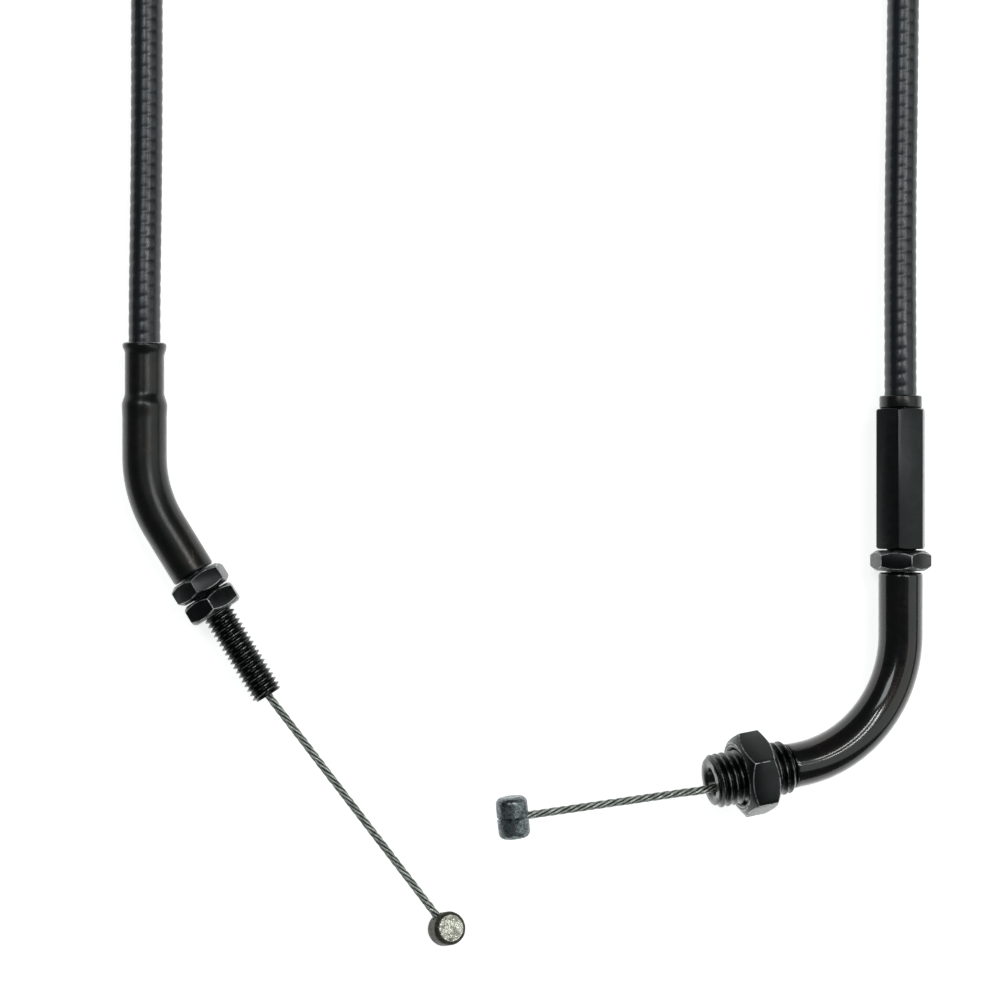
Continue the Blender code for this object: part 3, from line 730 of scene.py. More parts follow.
# %% Black oxide and worn edges
black_oxide = plated_steel(
    "black_oxide_hexagon_bar", "#070b0d", "#101516", "#3d4344", (0.3, 0.44), (0.5, 0.26), 3 * MM
)

worn_edge, tree, shader = start_material("worn_corner_steel", Metallic=0.6)
rubbed = ramp(tree, noise_on(tree, object_space(tree), 1.6 * MM, 4.0, 0.7), 0.36, 0.58)
shade = mixed(tree, rubbed, colour("#1c2122"), colour("#aab1af"))
tree.links.new(shade, shader.inputs["Base Color"])
tree.links.new(ramp(tree, rubbed, 0, 1, 0.45, 0.3), shader.inputs["Roughness"])
bump(tree, shader, noise_on(tree, object_space(tree), 0.3 * MM), 0.01 * MM, 0.5)

black_thread, tree, shader = start_material(
    "rolled_thread_black_zinc", Metallic=0.8, Coat_Weight=0.7, Coat_Roughness=0.22
)
crest = add(tree, "ShaderNodeAttribute", attribute_name="crest").outputs["Fac"]
patchy = ramp(tree, noise_on(tree, object_space(tree), 1.1 * MM, 3.0, 0.65), 0.4, 0.62)
rubbed = math_node(tree, "MULTIPLY", ramp(tree, crest, 0.86, 1.0), patchy)
shade = mixed(tree, rubbed, colour("#090a0b"), colour("#6d7472"))
tree.links.new(shade, shader.inputs["Base Color"])
tree.links.new(ramp(tree, patchy, 0, 1, 0.3, 0.42), shader.inputs["Roughness"])
bump(tree, shader, noise_on(tree, object_space(tree), 0.2 * MM), 0.008 * MM, 0.5)
print("made", black_oxide.name, worn_edge.name, black_thread.name)

# %% [markdown]
# ## Cast zinc, galvanised wire, spring steel and nylon
#
# The two cable ends are zinc alloy cast round the wire: dull grey, pitted and stained, with a
# bright patch where the sprue was sheared off. The throttle barrel's zinc is painted paler, as painted
# light, and the carburettor barrel's side takes a darker copy of it, as painted shade. The rope is
# galvanised steel wire, a mottled pale grey, with painted shade in the grooves between its strands.
# The flat winding and the liner hide inside the fittings, and they get their finishes too, as the
# frame keeps their CAD solids.


# %% Zinc, wire, spring and liner
def mottled_metal(name, dark, pale, size, gloss, metallic, depth):
    """A metal whose colour, gloss and surface all follow a mottled noise."""
    made, tree, shader = start_material(name, Metallic=metallic)
    coarse = noise_on(tree, object_space(tree), size, 6.0, 0.7)
    fine = noise_on(tree, object_space(tree), size / 5, 4.0, 0.7)
    both = math_node(tree, "MULTIPLY", math_node(tree, "ADD", coarse, fine), 0.5)
    shade = mixed(tree, ramp(tree, both, 0.4, 0.6), colour(dark), colour(pale))
    tree.links.new(shade, shader.inputs["Base Color"])
    tree.links.new(ramp(tree, both, 0.38, 0.62, *gloss), shader.inputs["Roughness"])
    bump(tree, shader, both, depth, 0.8)
    return made


# The zinc's own grey, painted paler as painted light for the throttle barrel, whose sides face the dim
# room.
cast_zinc = mottled_metal(
    "cast_zinc_alloy", "#2b3031", "#929b9d", 1.1 * MM, (0.44, 0.22), 0.8, 0.06 * MM
)
# A darker copy of the cast zinc for the carburettor barrel's side: painted shade, so that side doesn't
# mirror the bright table.
shaded_zinc_copy = mottled_metal(
    "cast_zinc_painted_shade", "#22231e", "#55554a", 0.9 * MM, (0.62, 0.46), 0.6, 0.06 * MM
)
sheared_zinc = mottled_metal(
    "sheared_zinc_face", "#5d5b4e", "#e3e3d6", 0.9 * MM, (0.44, 0.22), 0.85, 0.12 * MM
)
galvanised_wire, tree, shader = start_material("galvanised_steel_wire", Metallic=0.85)
outwards = add(tree, "ShaderNodeAttribute", attribute_name="outwards").outputs["Fac"]
stain = ramp(tree, noise_on(tree, object_space(tree), 0.9 * MM, 4.0), 0.35, 0.65)
bare = mixed(tree, stain, colour("#8d938d"), colour("#cdd2cb"))
# Painted shade: the wire goes near black towards the rope's axis, in the grooves between the strands.
shade = mixed(tree, ramp(tree, outwards, 0.77, 0.96), colour("#141816"), bare)
tree.links.new(shade, shader.inputs["Base Color"])
tree.links.new(ramp(tree, stain, 0, 1, 0.4, 0.3), shader.inputs["Roughness"])
spring_steel = mottled_metal(
    "oiled_spring_steel", "#55585a", "#7b7e80", 2.0 * MM, (0.38, 0.28), 1.0, 0.01 * MM
)
liner_nylon, tree, shader = start_material("extruded_nylon_liner", IOR=1.53)
shade = mixed(tree, noise_on(tree, object_space(tree), 2 * MM), colour("#cfcabc"), colour("#e6e2d6"))
tree.links.new(shade, shader.inputs["Base Color"])
streak = noise_on(tree, object_space(tree, (1, 0.1, 1)), 0.4 * MM)
tree.links.new(ramp(tree, streak, 0.3, 0.7, 0.4, 0.55), shader.inputs["Roughness"])

for node, finish in (
    ("throttle_spiral_end", spring_steel),
    ("carb_spiral_end", spring_steel),
    ("elbow_liner", liner_nylon),
):
    for material_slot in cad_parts[node].material_slots:
        material_slot.material = finish
print("made", cast_zinc.name, sheared_zinc.name, galvanised_wire.name, spring_steel.name)

# %% [markdown]
# ## Places of the fittings
#
# Each fitting is built straight, along its own Z, and then placed. The two bent lines are a
# straight, an arc and a straight, so a corner, a radius and two directions say all of it. These are
# the sizes of the CAD model, and the nuts and the barrels take their places from them.


# %% Directions and bends
def frame_at(origin, axis, up=UP):
    """A placement at origin with local Z along axis and local X as near to up as it can be."""
    z = Vector(axis).normalized()
    x = (Vector(up) - z * z.dot(up)).normalized()
    turn = Matrix((x, z.cross(x), z)).transposed().to_4x4()
    return Matrix.Translation(origin) @ turn


def direction(turn, rise, towards):
    """A unit vector that is turn below the +X or -X axis and rises out of the plane."""
    level = math.cos(rise)
    return Vector((towards * math.cos(turn) * level, -math.sin(turn) * level, math.sin(rise)))


def bend(corner, first, second, radius, steps=72):
    """Points round a bend at corner, from a line along first to a line along second."""
    angle = first.angle(second)
    reach = radius * math.tan(angle / 2)
    inward = (second - first * first.dot(second)).normalized()
    centre = corner - first * reach + inward * radius
    found = []
    for step in range(steps + 1):
        part = angle * step / steps
        found.append(centre - inward * radius * math.cos(part) + first * radius * math.sin(part))
    return found


ALONG_LEG = Vector((0, 1, 0))
GAP = 0.3 * MM
LOCK_NUT_FLATS = 10.0 * MM
TUBE_D = 8.3 * MM
TUBE_BORE = 6.0 * MM

THROTTLE_CORNER = Vector((70.45, -18.55, 5.774)) * MM
SLEEVE_AXIS = direction(math.radians(9), math.radians(15), -1)
THROTTLE_WIRE_AXIS = direction(math.radians(6), math.radians(15), -1)
SLEEVE_START = 23.2 * MM
SLEEVE_LENGTH = 15.4 * MM
SLEEVE_MOUTH = THROTTLE_CORNER + SLEEVE_AXIS * (SLEEVE_START + SLEEVE_LENGTH)
ACROSS_SLEEVE = SLEEVE_AXIS.cross(UP).normalized() * -1
WIRE_OFFSET = 1.2 * MM
WIRE_FREE_LENGTH = 38.0 * MM
THROTTLE_WIRE_MOUTH = SLEEVE_MOUTH + ACROSS_SLEEVE * WIRE_OFFSET
THROTTLE_BARREL_AT = THROTTLE_WIRE_MOUTH + THROTTLE_WIRE_AXIS * WIRE_FREE_LENGTH
SHOULDER_Y = 13.8 * MM
LOCK_NUT_THICK = 3.8 * MM
ADJUSTER_LENGTH = 26.4 * MM
FLANGE_Y = SHOULDER_Y + 3 * GAP + LOCK_NUT_THICK + ADJUSTER_LENGTH

CARB_TURN = math.radians(31.5)
CARB_CORNER = Vector((-71.95, 28.65, 5.752)) * MM
CARB_AXIS = Vector((math.sin(CARB_TURN), -math.cos(CARB_TURN), 0))
CARB_TUBE_END = 17.8 * MM
CARB_STEM_END = 44.6 * MM
CARB_RIM_Y = 56.9 * MM
CARB_MOUTH = CARB_CORNER + CARB_AXIS * CARB_STEM_END
CARB_BARREL_AT = Vector((-15.072, -53.771, 3.622)) * MM
CARB_WIRE_AXIS = (CARB_BARREL_AT - CARB_MOUTH).normalized()

ELBOW_BEND_RADIUS = 24.0 * MM
CARB_BEND_RADIUS = 25.0 * MM
throttle_arc = bend(THROTTLE_CORNER, -ALONG_LEG, SLEEVE_AXIS, ELBOW_BEND_RADIUS)
carb_arc = bend(CARB_CORNER, -ALONG_LEG, CARB_AXIS, CARB_BEND_RADIUS)


def on_throttle_leg(y):
    return Vector((THROTTLE_CORNER.x, y, THROTTLE_CORNER.z))


def on_carb_leg(y):
    return Vector((CARB_CORNER.x, y, CARB_CORNER.z))


print("carb wire free length in mm:", round((CARB_BARREL_AT - CARB_MOUTH).length / MM, 2))

# %% [markdown]
# ## The curved elbow
#
# On the real cable a piece of steel tube is bent through about eighty degrees and spun over at
# its top into a rounded shoulder. It could be a bevelled curve, but a bent tube isn't quite round:
# it flattens a little on the outside of the bend. So its wall is built ring by ring, outside down
# and inside back up, which also closes it as one solid.


# %% Bent tubes
def stations(points, distances):
    """The place and the direction at each distance along a line."""
    found = []
    pairs = list(zip(points, points[1:]))
    for distance in distances:
        left = distance
        for start, end in pairs:
            length = (end - start).length
            if left <= length or end is points[-1]:
                ahead = (end - start).normalized()
                found.append((start + ahead * left, ahead))
                break
            left -= length
    return found


def bent_pipe(points, distances, outer, inner, side, sides=56):
    """A bent pipe; outer and inner give its radii from a distance and an angle from side."""
    walls = []
    for radius_at in (outer, inner):
        wall = []
        for distance, (place, ahead) in zip(distances, stations(points, distances)):
            x = (side - ahead * side.dot(ahead)).normalized()
            y = ahead.cross(x)
            ring = []
            for step in range(sides):
                angle = 2 * math.pi * step / sides
                out = x * math.cos(angle) + y * math.sin(angle)
                ring.append(place + out * radius_at(distance, angle))
            wall.append(ring)
        walls.append(wall)
    return ring_mesh(walls[0] + walls[1][::-1], loop=True)


def spread(start, end, step):
    """Evenly spaced distances from start to end."""
    count = max(1, round((end - start) / step))
    return [start + (end - start) * i / count for i in range(count + 1)]


elbow_points = [on_throttle_leg(SHOULDER_Y)] + throttle_arc
elbow_points.append(THROTTLE_CORNER + SLEEVE_AXIS * (SLEEVE_START - GAP))
ELBOW_LENGTH = path_length(elbow_points)
SHOULDER_RADIUS = 0.7 * MM
SHOULDER_INSET = 0.5 * MM
END_RADIUS = 0.3 * MM
ELBOW_FLATTENING = 0.02


def elbow_outer(distance, angle):
    """Round, with a rolled shoulder, a small radius at the far end and a flattened bend."""
    radius = TUBE_D / 2
    if distance < SHOULDER_RADIUS:
        part = 1 - distance / SHOULDER_RADIUS
        radius -= SHOULDER_INSET * (1 - math.sqrt(1 - part * part))
    if distance > ELBOW_LENGTH - END_RADIUS:
        part = 1 - (ELBOW_LENGTH - distance) / END_RADIUS
        radius -= END_RADIUS * (1 - math.sqrt(1 - part * part))
    middle = math.sin(math.pi * distance / ELBOW_LENGTH)
    return radius * (1 - ELBOW_FLATTENING * middle * max(0, math.cos(angle)) ** 2)


def bore(distance, angle):
    return TUBE_BORE / 2


shoulder = [SHOULDER_RADIUS * (1 - math.cos(math.radians(a))) for a in range(0, 91, 15)]
far_end = [ELBOW_LENGTH - END_RADIUS * (1 - math.sin(math.radians(a))) for a in range(0, 91, 22)]
distances = shoulder + spread(1.2 * MM, ELBOW_LENGTH - 0.9 * MM, 0.8 * MM) + far_end
outside = Vector((1, -1, 0)).normalized()
finish_piece(
    "bent_elbow",
    bent_pipe(elbow_points, distances, elbow_outer, bore, outside),
    [black_zinc],
    "elbow",
    ["throttle_elbow"],
)

# %% [markdown]
# ## The crimped bent tube
#
# At the carburettor end the tube is bent less, and its top is crimped onto the sheath. The crimping
# jaws leave a narrow waist with a bulge under it, and a flared rim that is never quite even: one
# side folds further down than the other. The rim's raw edge is worn bright, so the faces next to it
# take the worn finish.

# %% Crimped tube
CRIMP_D = 7.4 * MM
CRIMP_END_Y = 47.0 * MM
RIM_HEIGHT = 1.0 * MM
RIM_TAPER = 1.4 * MM
RIM_UNEVEN = 0.7 * MM
BULGE_D = 8.5 * MM
BULGE_AT = CARB_RIM_Y - CRIMP_END_Y + 1.8 * MM
BULGE_LENGTH = 2.5 * MM
CRIMP_AT = CARB_RIM_Y - CRIMP_END_Y
carb_points = [on_carb_leg(CARB_RIM_Y)] + carb_arc + [CARB_CORNER + CARB_AXIS * CARB_TUBE_END]
CARB_TUBE_LENGTH = path_length(carb_points)


def blend_between(low, high, value):
    """0 below low, 1 above high and a smooth step between."""
    t = min(max((value - low) / (high - low), 0), 1)
    return t * t * (3 - 2 * t)


def carb_outer(distance, angle):
    """The rim, the waist with the jaws' flats, the bulge and the plain tube."""
    fold = RIM_UNEVEN * (0.5 + 0.5 * math.cos(angle)) + 0.12 * MM * math.sin(3 * angle + 1)
    flare = 1 - blend_between(RIM_HEIGHT * 0.6, RIM_HEIGHT + RIM_TAPER * 0.6 + fold, distance)
    waist = CRIMP_D / 2 - 0.05 * MM * (0.5 + 0.5 * math.cos(6 * angle))
    radius = waist + (TUBE_D / 2 - CRIMP_D / 2) * flare
    swell = blend_between(CRIMP_AT - 0.6 * MM, BULGE_AT, distance)
    radius += (BULGE_D / 2 - radius) * swell
    radius += (TUBE_D - BULGE_D) / 2 * blend_between(BULGE_AT, BULGE_AT + BULGE_LENGTH, distance)
    if distance < END_RADIUS:
        radius -= (END_RADIUS - distance) * 0.5
    if distance > CARB_TUBE_LENGTH - END_RADIUS:
        radius -= (distance - CARB_TUBE_LENGTH + END_RADIUS) * 0.7
    return radius


def carb_inner(distance, angle):
    wide = CONDUIT_D / 2 + GAP
    return wide + (TUBE_BORE / 2 - wide) * blend_between(CRIMP_AT - 0.3 * MM, CRIMP_AT, distance)


distances = [0, 0.15 * MM] + spread(0.3 * MM, BULGE_AT + BULGE_LENGTH, 0.3 * MM)
distances += spread(BULGE_AT + BULGE_LENGTH + 0.6 * MM, CARB_TUBE_LENGTH - 0.6 * MM, 0.7 * MM)
distances += [CARB_TUBE_LENGTH - END_RADIUS, CARB_TUBE_LENGTH]
carb_tube_mesh = bent_pipe(carb_points, distances, carb_outer, carb_inner, Vector((1, 0.02, 0)))


def wear(mesh, worn):
    """Gives the second finish to the faces that worn says yes to."""
    for face in mesh.polygons:
        face.material_index = 1 if worn(face) else 0


carb_tube = finish_piece(
    "crimped_bent_tube",
    carb_tube_mesh,
    [crimped_zinc, worn_edge],
    "conduit",
    ["carb_bent_tube"],
)
wear(carb_tube.data, lambda face: face.center.y > CARB_RIM_Y - 0.16 * MM)

# %% [markdown]
# ## Threads
#
# A screw thread is one groove wound round a rod, so its surface is a sheet of short profiles that
# climbs one pitch for each turn, and each turn's edge is the next turn's start. It could be a Screw
# modifier, but that leaves ragged ends. Here the sheet is clamped between the two end planes and
# under a chamfer cone, as a lathe leaves it. The crests carry an attribute, because that is where
# the black film rubs off. Both threads are right-handed: M6 with a 1 mm pitch, and M10 with 1.25 mm.

# %% Threaded pieces
THREAD_PROFILE = ((0.0, 0.0), (0.1, 0.0), (0.2, 0.14), (0.46, 0.88), (0.52, 1.0))
THREAD_PROFILE += ((0.66, 1.0), (0.72, 0.88), (0.94, 0.14))
THREAD_DEPTH = 0.61


def threaded_rod(major, pitch, length, chamfer, ends, place, sides=60):
    """A threaded length from z = 0; ends are the (radius, height) points of the rest of it."""
    depth = THREAD_DEPTH * pitch
    steps = len(THREAD_PROFILE)
    turns = math.ceil(length / pitch) + 2
    end_radius = major / 2 - chamfer
    work = bmesh.new()
    crest = work.verts.layers.float.new("crest")

    def vertex(row, column):
        phase, height = THREAD_PROFILE[row % steps]
        angle = 2 * math.pi * column / sides
        z = pitch * (row // steps - 1 + phase + column / sides)
        inside = min(z, length - z)
        z = min(max(z, 0), length)
        radius = major / 2 - depth * (1 - height)
        radius = end_radius if inside <= 0 else min(radius, end_radius + inside)
        made = work.verts.new(place @ Vector((radius * math.cos(angle), radius * math.sin(angle), z)))
        made[crest] = height
        return made

    rows = [[vertex(row, column) for column in range(sides + 1)] for row in range(turns * steps)]
    for first, second in zip(rows, rows[1:]):
        for i in range(sides):
            work.faces.new((first[i], first[i + 1], second[i + 1], second[i]))
    outline = [(end_radius, length)] + list(ends) + [(end_radius, 0)]
    join_rings(work, [[work.verts.new(place @ p) for p in circle(r, z, sides)] for r, z in outline])
    bmesh.ops.remove_doubles(work, verts=work.verts, dist=0.004 * MM)
    bmesh.ops.dissolve_degenerate(work, edges=work.edges, dist=0.0005 * MM)
    bmesh.ops.recalc_face_normals(work, faces=work.faces)
    mesh = bpy.data.meshes.new("thread")
    work.to_mesh(mesh)
    open_edges = len([e for e in work.edges if len(e.link_faces) != 2])
    work.free()
    print("thread edges without two faces:", open_edges)
    return mesh


M6_D = 6.0 * MM
M6_PITCH = 1.0 * MM
M10_D = 9.9 * MM
M10_PITCH = 1.25 * MM
STEM_BORE = 3.4 * MM
SLEEVE_BORE = 4.8 * MM
SPIGOT_D = TUBE_BORE - 2 * GAP
SPIGOT_LENGTH = 2.2 * MM
CARB_SPIGOT_LENGTH = 8.0 * MM
STEM_SPIGOT_LENGTH = 5.0 * MM
STEM_ENGAGED = 17.2 * MM



def threaded_piece(name, node, body, sizes, ends, place, sides=48):
    mesh = threaded_rod(*sizes, ends, place, sides)
    finish_piece(name, mesh, [black_thread], body, [node], sharp=50)


sleeve_ends = [
    (SLEEVE_BORE / 2 + 0.5 * MM, SLEEVE_LENGTH),
    (SLEEVE_BORE / 2, SLEEVE_LENGTH - 0.5 * MM),
    (SLEEVE_BORE / 2, -SPIGOT_LENGTH),
    (SPIGOT_D / 2, -SPIGOT_LENGTH),
    (SPIGOT_D / 2, 0),
]
threaded_piece(
    "threaded_sleeve",
    "throttle_thread_sleeve",
    "elbow",
    (M10_D, M10_PITCH, SLEEVE_LENGTH, 0.7 * MM),
    sleeve_ends,
    frame_at(THROTTLE_CORNER + SLEEVE_AXIS * SLEEVE_START, SLEEVE_AXIS),
    sides=72,
)

carb_stem_length = CARB_STEM_END - CARB_TUBE_END - GAP
carb_stem_ends = [
    (STEM_BORE / 2 + 0.3 * MM, carb_stem_length),
    (STEM_BORE / 2, carb_stem_length - 0.3 * MM),
    (STEM_BORE / 2, -CARB_SPIGOT_LENGTH),
    (SPIGOT_D / 2, -CARB_SPIGOT_LENGTH),
    (SPIGOT_D / 2, 0),
]
threaded_piece(
    "carburettor_stem",
    "carb_thread_stem",
    "conduit",
    (M6_D, M6_PITCH, carb_stem_length, 0.5 * MM),
    carb_stem_ends,
    frame_at(CARB_CORNER + CARB_AXIS * (CARB_TUBE_END + GAP), CARB_AXIS),
)

adjuster_stem_length = LOCK_NUT_THICK + STEM_ENGAGED - GAP
adjuster_stem_ends = [
    (STEM_BORE / 2, adjuster_stem_length),
    (STEM_BORE / 2, -STEM_SPIGOT_LENGTH - GAP),
    (SPIGOT_D / 2, -STEM_SPIGOT_LENGTH - GAP),
    (SPIGOT_D / 2, 0),
]
threaded_piece(
    "adjuster_thread",
    "adjuster_stem",
    "elbow",
    (M6_D, M6_PITCH, adjuster_stem_length, 0.5 * MM),
    adjuster_stem_ends,
    frame_at(on_throttle_leg(SHOULDER_Y + GAP), ALONG_LEG),
)

# %% [markdown]
# ## Nuts and the long adjuster
#
# A nut is a slice of hexagon bar whose ends are turned to a cone on a lathe, which is why a curved
# line cuts each flat near its ends. The same two steps make it here: a hexagonal prism, cut by a
# turned shape. Then its bore is drilled, and a Bevel modifier breaks the corners and gives the new
# narrow faces the worn finish.


# %% Hexagons
def combined(body, tool, operation, place=None):
    """One mesh cut by, or kept inside, another."""
    target = in_scene("target", body)
    cutter = in_scene("cutter", tool)
    if place:
        cutter.matrix_world = place
    step = target.modifiers.new("cut", "BOOLEAN")
    step.operation = operation
    step.solver = "EXACT"
    step.object = cutter
    bpy.context.view_layer.update()
    mesh = applied(target)
    bpy.data.objects.remove(cutter, do_unlink=True)
    return settle(mesh)


def turned(outline, sides=96, loop=False):
    """A solid turned round local Z from (radius, height) points."""
    return ring_mesh([circle(radius, z, sides) for radius, z in outline], loop)


def hexagon(flats, length, bore_d, chamfer, edge, end=0.9):
    """A drilled hexagon with worn corners on z = 0; its end faces are end times its flats wide."""
    corner = flats / math.sqrt(3)
    face = end * flats / 2
    far = corner + GAP
    prism = turned([(corner, 0), (corner, length)], sides=6)
    cone = [(face, -GAP), (face, 0), (far, chamfer), (far, length - chamfer), (face, length)]
    mesh = combined(prism, turned(cone + [(face, length + GAP)]), "INTERSECT")
    mouth = bore_d / 2 + COUNTERSINK
    drill = [(mouth + GAP, -GAP), (mouth, 0), (bore_d / 2, COUNTERSINK)]
    drill += [(bore_d / 2, length - COUNTERSINK), (mouth, length), (mouth + GAP, length + GAP)]
    item = in_scene("hexagon", combined(mesh, turned(drill, sides=64), "DIFFERENCE"))
    item.data.materials.append(black_oxide)
    item.data.materials.append(worn_edge)
    bevel = item.modifiers.new("broken corners", "BEVEL")
    bevel.width = edge
    bevel.segments = 2
    bevel.limit_method = "ANGLE"
    bevel.angle_limit = math.radians(22)
    bevel.material = 1
    bevel.harden_normals = False
    return applied(item)


def hexagon_piece(name, node, body, sizes, place):
    mesh = hexagon(*sizes)
    mesh.transform(place)
    finish_piece(name, mesh, None, body, [node], sharp=30)


def rolled(place, degrees):
    return place @ Matrix.Rotation(math.radians(degrees), 4, "Z")


COUNTERSINK = 0.45 * MM
NUT_BORE = M6_D + 2 * GAP
NUT_CHAMFER = 1.1 * MM
NUT_EDGE = 0.13 * MM
JAM_NUT_FLATS = 14.0 * MM
JAM_NUT_THICK = 6.2 * MM
JAM_NUT_AT = 27.2 * MM
CARB_NUT_THICK = 4.0 * MM

hexagon_piece(
    "jam_nut",
    "throttle_jam_nut",
    "jam_nut",
    (JAM_NUT_FLATS, JAM_NUT_THICK, M10_D + 2 * GAP, 1.45 * MM, 0.17 * MM),
    rolled(frame_at(THROTTLE_CORNER + SLEEVE_AXIS * JAM_NUT_AT, SLEEVE_AXIS), 20.3),
)
hexagon_piece(
    "lock_nut",
    "adjuster_lock_nut",
    "lock_nut",
    (LOCK_NUT_FLATS, LOCK_NUT_THICK, NUT_BORE, NUT_CHAMFER, NUT_EDGE),
    rolled(frame_at(on_throttle_leg(SHOULDER_Y + GAP), ALONG_LEG), 10.7),
)
inner_start = CARB_TUBE_END + GAP
outer_start = inner_start + CARB_NUT_THICK + GAP
for name, node, body, start, degrees in (
    ("carburettor_nut_inner", "carb_inner_nut", "carb_nut_a", inner_start, 5.0),
    ("carburettor_nut_outer", "carb_outer_nut", "carb_nut_b", outer_start, -5.0),
):
    hexagon_piece(
        name,
        node,
        body,
        (LOCK_NUT_FLATS, CARB_NUT_THICK, NUT_BORE, NUT_CHAMFER, NUT_EDGE),
        rolled(frame_at(CARB_CORNER + CARB_AXIS * start, CARB_AXIS), degrees),
    )

# %% [markdown]
# The adjuster is the same hexagon, long, with a wider socket drilled in its top for the ferrule.

# %% Adjuster
ADJUSTER_FLATS = 8.6 * MM
FERRULE_SHANK_D = 6.6 * MM
SOCKET_DEPTH = 8.4 * MM
adjuster_mesh = hexagon(ADJUSTER_FLATS, ADJUSTER_LENGTH, NUT_BORE, 0.5 * MM, 0.15 * MM, 0.975)
socket_radius = FERRULE_SHANK_D / 2 + GAP
socket = turned([(socket_radius, ADJUSTER_LENGTH - SOCKET_DEPTH), (socket_radius, ADJUSTER_LENGTH + MM)])
adjuster_mesh = combined(adjuster_mesh, socket, "DIFFERENCE")
adjuster_foot = on_throttle_leg(SHOULDER_Y + 2 * GAP + LOCK_NUT_THICK)
adjuster_mesh.transform(rolled(frame_at(adjuster_foot, ALONG_LEG), -15.6))
finish_piece(
    "adjuster",
    adjuster_mesh,
    [black_oxide, worn_edge],
    "adjuster",
    ["adjuster_hexagon"],
    sharp=30,
)

# %% [markdown]
# ## The ferrule at the top of the adjuster
#
# The conduit ends in a turned steel cup whose flange sits on the adjuster. It is a lathe part, so
# its outline is turned round the axis, with small radii at the flange's edges and a bore in three
# steps: the widest for the sheath, the next for the winding and the narrowest for the wire.

# %% Ferrule
FLANGE_D = 7.9 * MM
FLANGE = 2.1 * MM
SHANK = 7.6 * MM
SHANK_FLOOR = 1.2 * MM
SPIRAL_D = 4.6 * MM
WIRE_HOLE = 2.1 * MM
lip = CONDUIT_D / 2 + GAP
edge = 0.3 * MM
foot = 0.22 * MM  # the flange all but rests on the adjuster


def rounding(radius, centre_z, size, first, last, steps):
    """The rounded corner of an outline that reaches radius, from one angle to another."""
    angles = [math.radians(first + (last - first) * step / steps) for step in range(steps + 1)]
    return [(radius - size + size * math.cos(a), centre_z + size * math.sin(a)) for a in angles]


outline = rounding(FLANGE_D / 2, FLANGE - edge, edge, 90, 0, 4)
outline += rounding(FLANGE_D / 2, edge - foot, edge, 0, -90, 4)
outline += [
    (FERRULE_SHANK_D / 2, -foot),
    (FERRULE_SHANK_D / 2, -SHANK + edge),
    (FERRULE_SHANK_D / 2 - edge, -SHANK),
    (WIRE_HOLE / 2, -SHANK),
    (WIRE_HOLE / 2, -SHANK + SHANK_FLOOR),
    (SPIRAL_D / 2 + GAP, -SHANK + SHANK_FLOOR),
    (SPIRAL_D / 2 + GAP, GAP),
    (lip, GAP),
    (lip, FLANGE - 0.1 * MM),
    (lip + 0.1 * MM, FLANGE),
]
ferrule_mesh = turned(outline, sides=72, loop=True)
ferrule_mesh.transform(frame_at(on_throttle_leg(FLANGE_Y), ALONG_LEG))
finish_piece(
    "conduit_ferrule",
    ferrule_mesh,
    [crimped_zinc],
    "conduit",
    ["throttle_conduit_ferrule"],
)

# %% [markdown]
# ## Geometry Nodes: the wire rope
#
# The inner cable is a left-hand rope of six strands, each a bundle of finer wires, twisted once
# round in about 11 mm. Sweeping one twisted section along the path makes all six strands at once:
# the section is a ring of six small lobed circles, and the curve's tilt turns it steadily with the
# distance travelled. The lobes on each small circle are the finer wires.

# %% Rope tree
LOBE_VALLEY = 0.82
LOBE_CREST = 1.03

tree, into, out = geometry_tree(
    "laid_rope",
    [
        ("Rope Diameter", "NodeSocketFloat"),
        ("Strand Diameter", "NodeSocketFloat"),
        ("Strands", "NodeSocketInt"),
        ("Wires in a Strand", "NodeSocketInt"),
        ("Lay Length", "NodeSocketFloat"),
        ("Ring Spacing", "NodeSocketFloat"),
        ("Material", "NodeSocketMaterial"),
    ],
)
line, along = evenly_spaced(tree, into)
turns = math_node(tree, "DIVIDE", along, into.outputs["Lay Length"])
tilt = math_node(tree, "MULTIPLY", turns, -2 * math.pi)
twisted = add(tree, "GeometryNodeSetCurveTilt", {"Curve": line, "Tilt": tilt})
strand_radius = math_node(tree, "MULTIPLY", into.outputs["Strand Diameter"], 0.5)
lobes = add(
    tree,
    "GeometryNodeCurveStar",
    {
        "Points": into.outputs["Wires in a Strand"],
        "Inner Radius": math_node(tree, "MULTIPLY", strand_radius, LOBE_VALLEY),
        "Outer Radius": math_node(tree, "MULTIPLY", strand_radius, LOBE_CREST),
    },
)
across = math_node(tree, "SUBTRACT", into.outputs["Rope Diameter"], into.outputs["Strand Diameter"])
pitch_circle = add(
    tree,
    "GeometryNodeMeshCircle",
    {"Vertices": into.outputs["Strands"], "Radius": math_node(tree, "MULTIPLY", across, 0.5)},
)
section = add(
    tree,
    "GeometryNodeInstanceOnPoints",
    {"Points": pitch_circle.outputs[0], "Instance": lobes.outputs[0]},
)
flat_section = add(tree, "GeometryNodeRealizeInstances", {"Geometry": section.outputs[0]})
place = add(tree, "GeometryNodeInputPosition").outputs[0]
from_axis = add(tree, "ShaderNodeVectorMath", {0: place}, operation="LENGTH").outputs["Value"]
section, from_axis = captured(tree, flat_section.outputs[0], "Out", from_axis)
# The distance from the axis is stored for the material, which paints shade in the grooves with it.
rope_radius = math_node(tree, "MULTIPLY", into.outputs["Rope Diameter"], 0.5)
outwards = math_node(tree, "DIVIDE", from_axis, rope_radius)
rope = swept(tree, twisted.outputs[0], section)
finish_tree(tree, into, out, rope, "outwards", outwards, "FLOAT")
laid_rope = tree
print("rope tree nodes:", len(laid_rope.nodes))

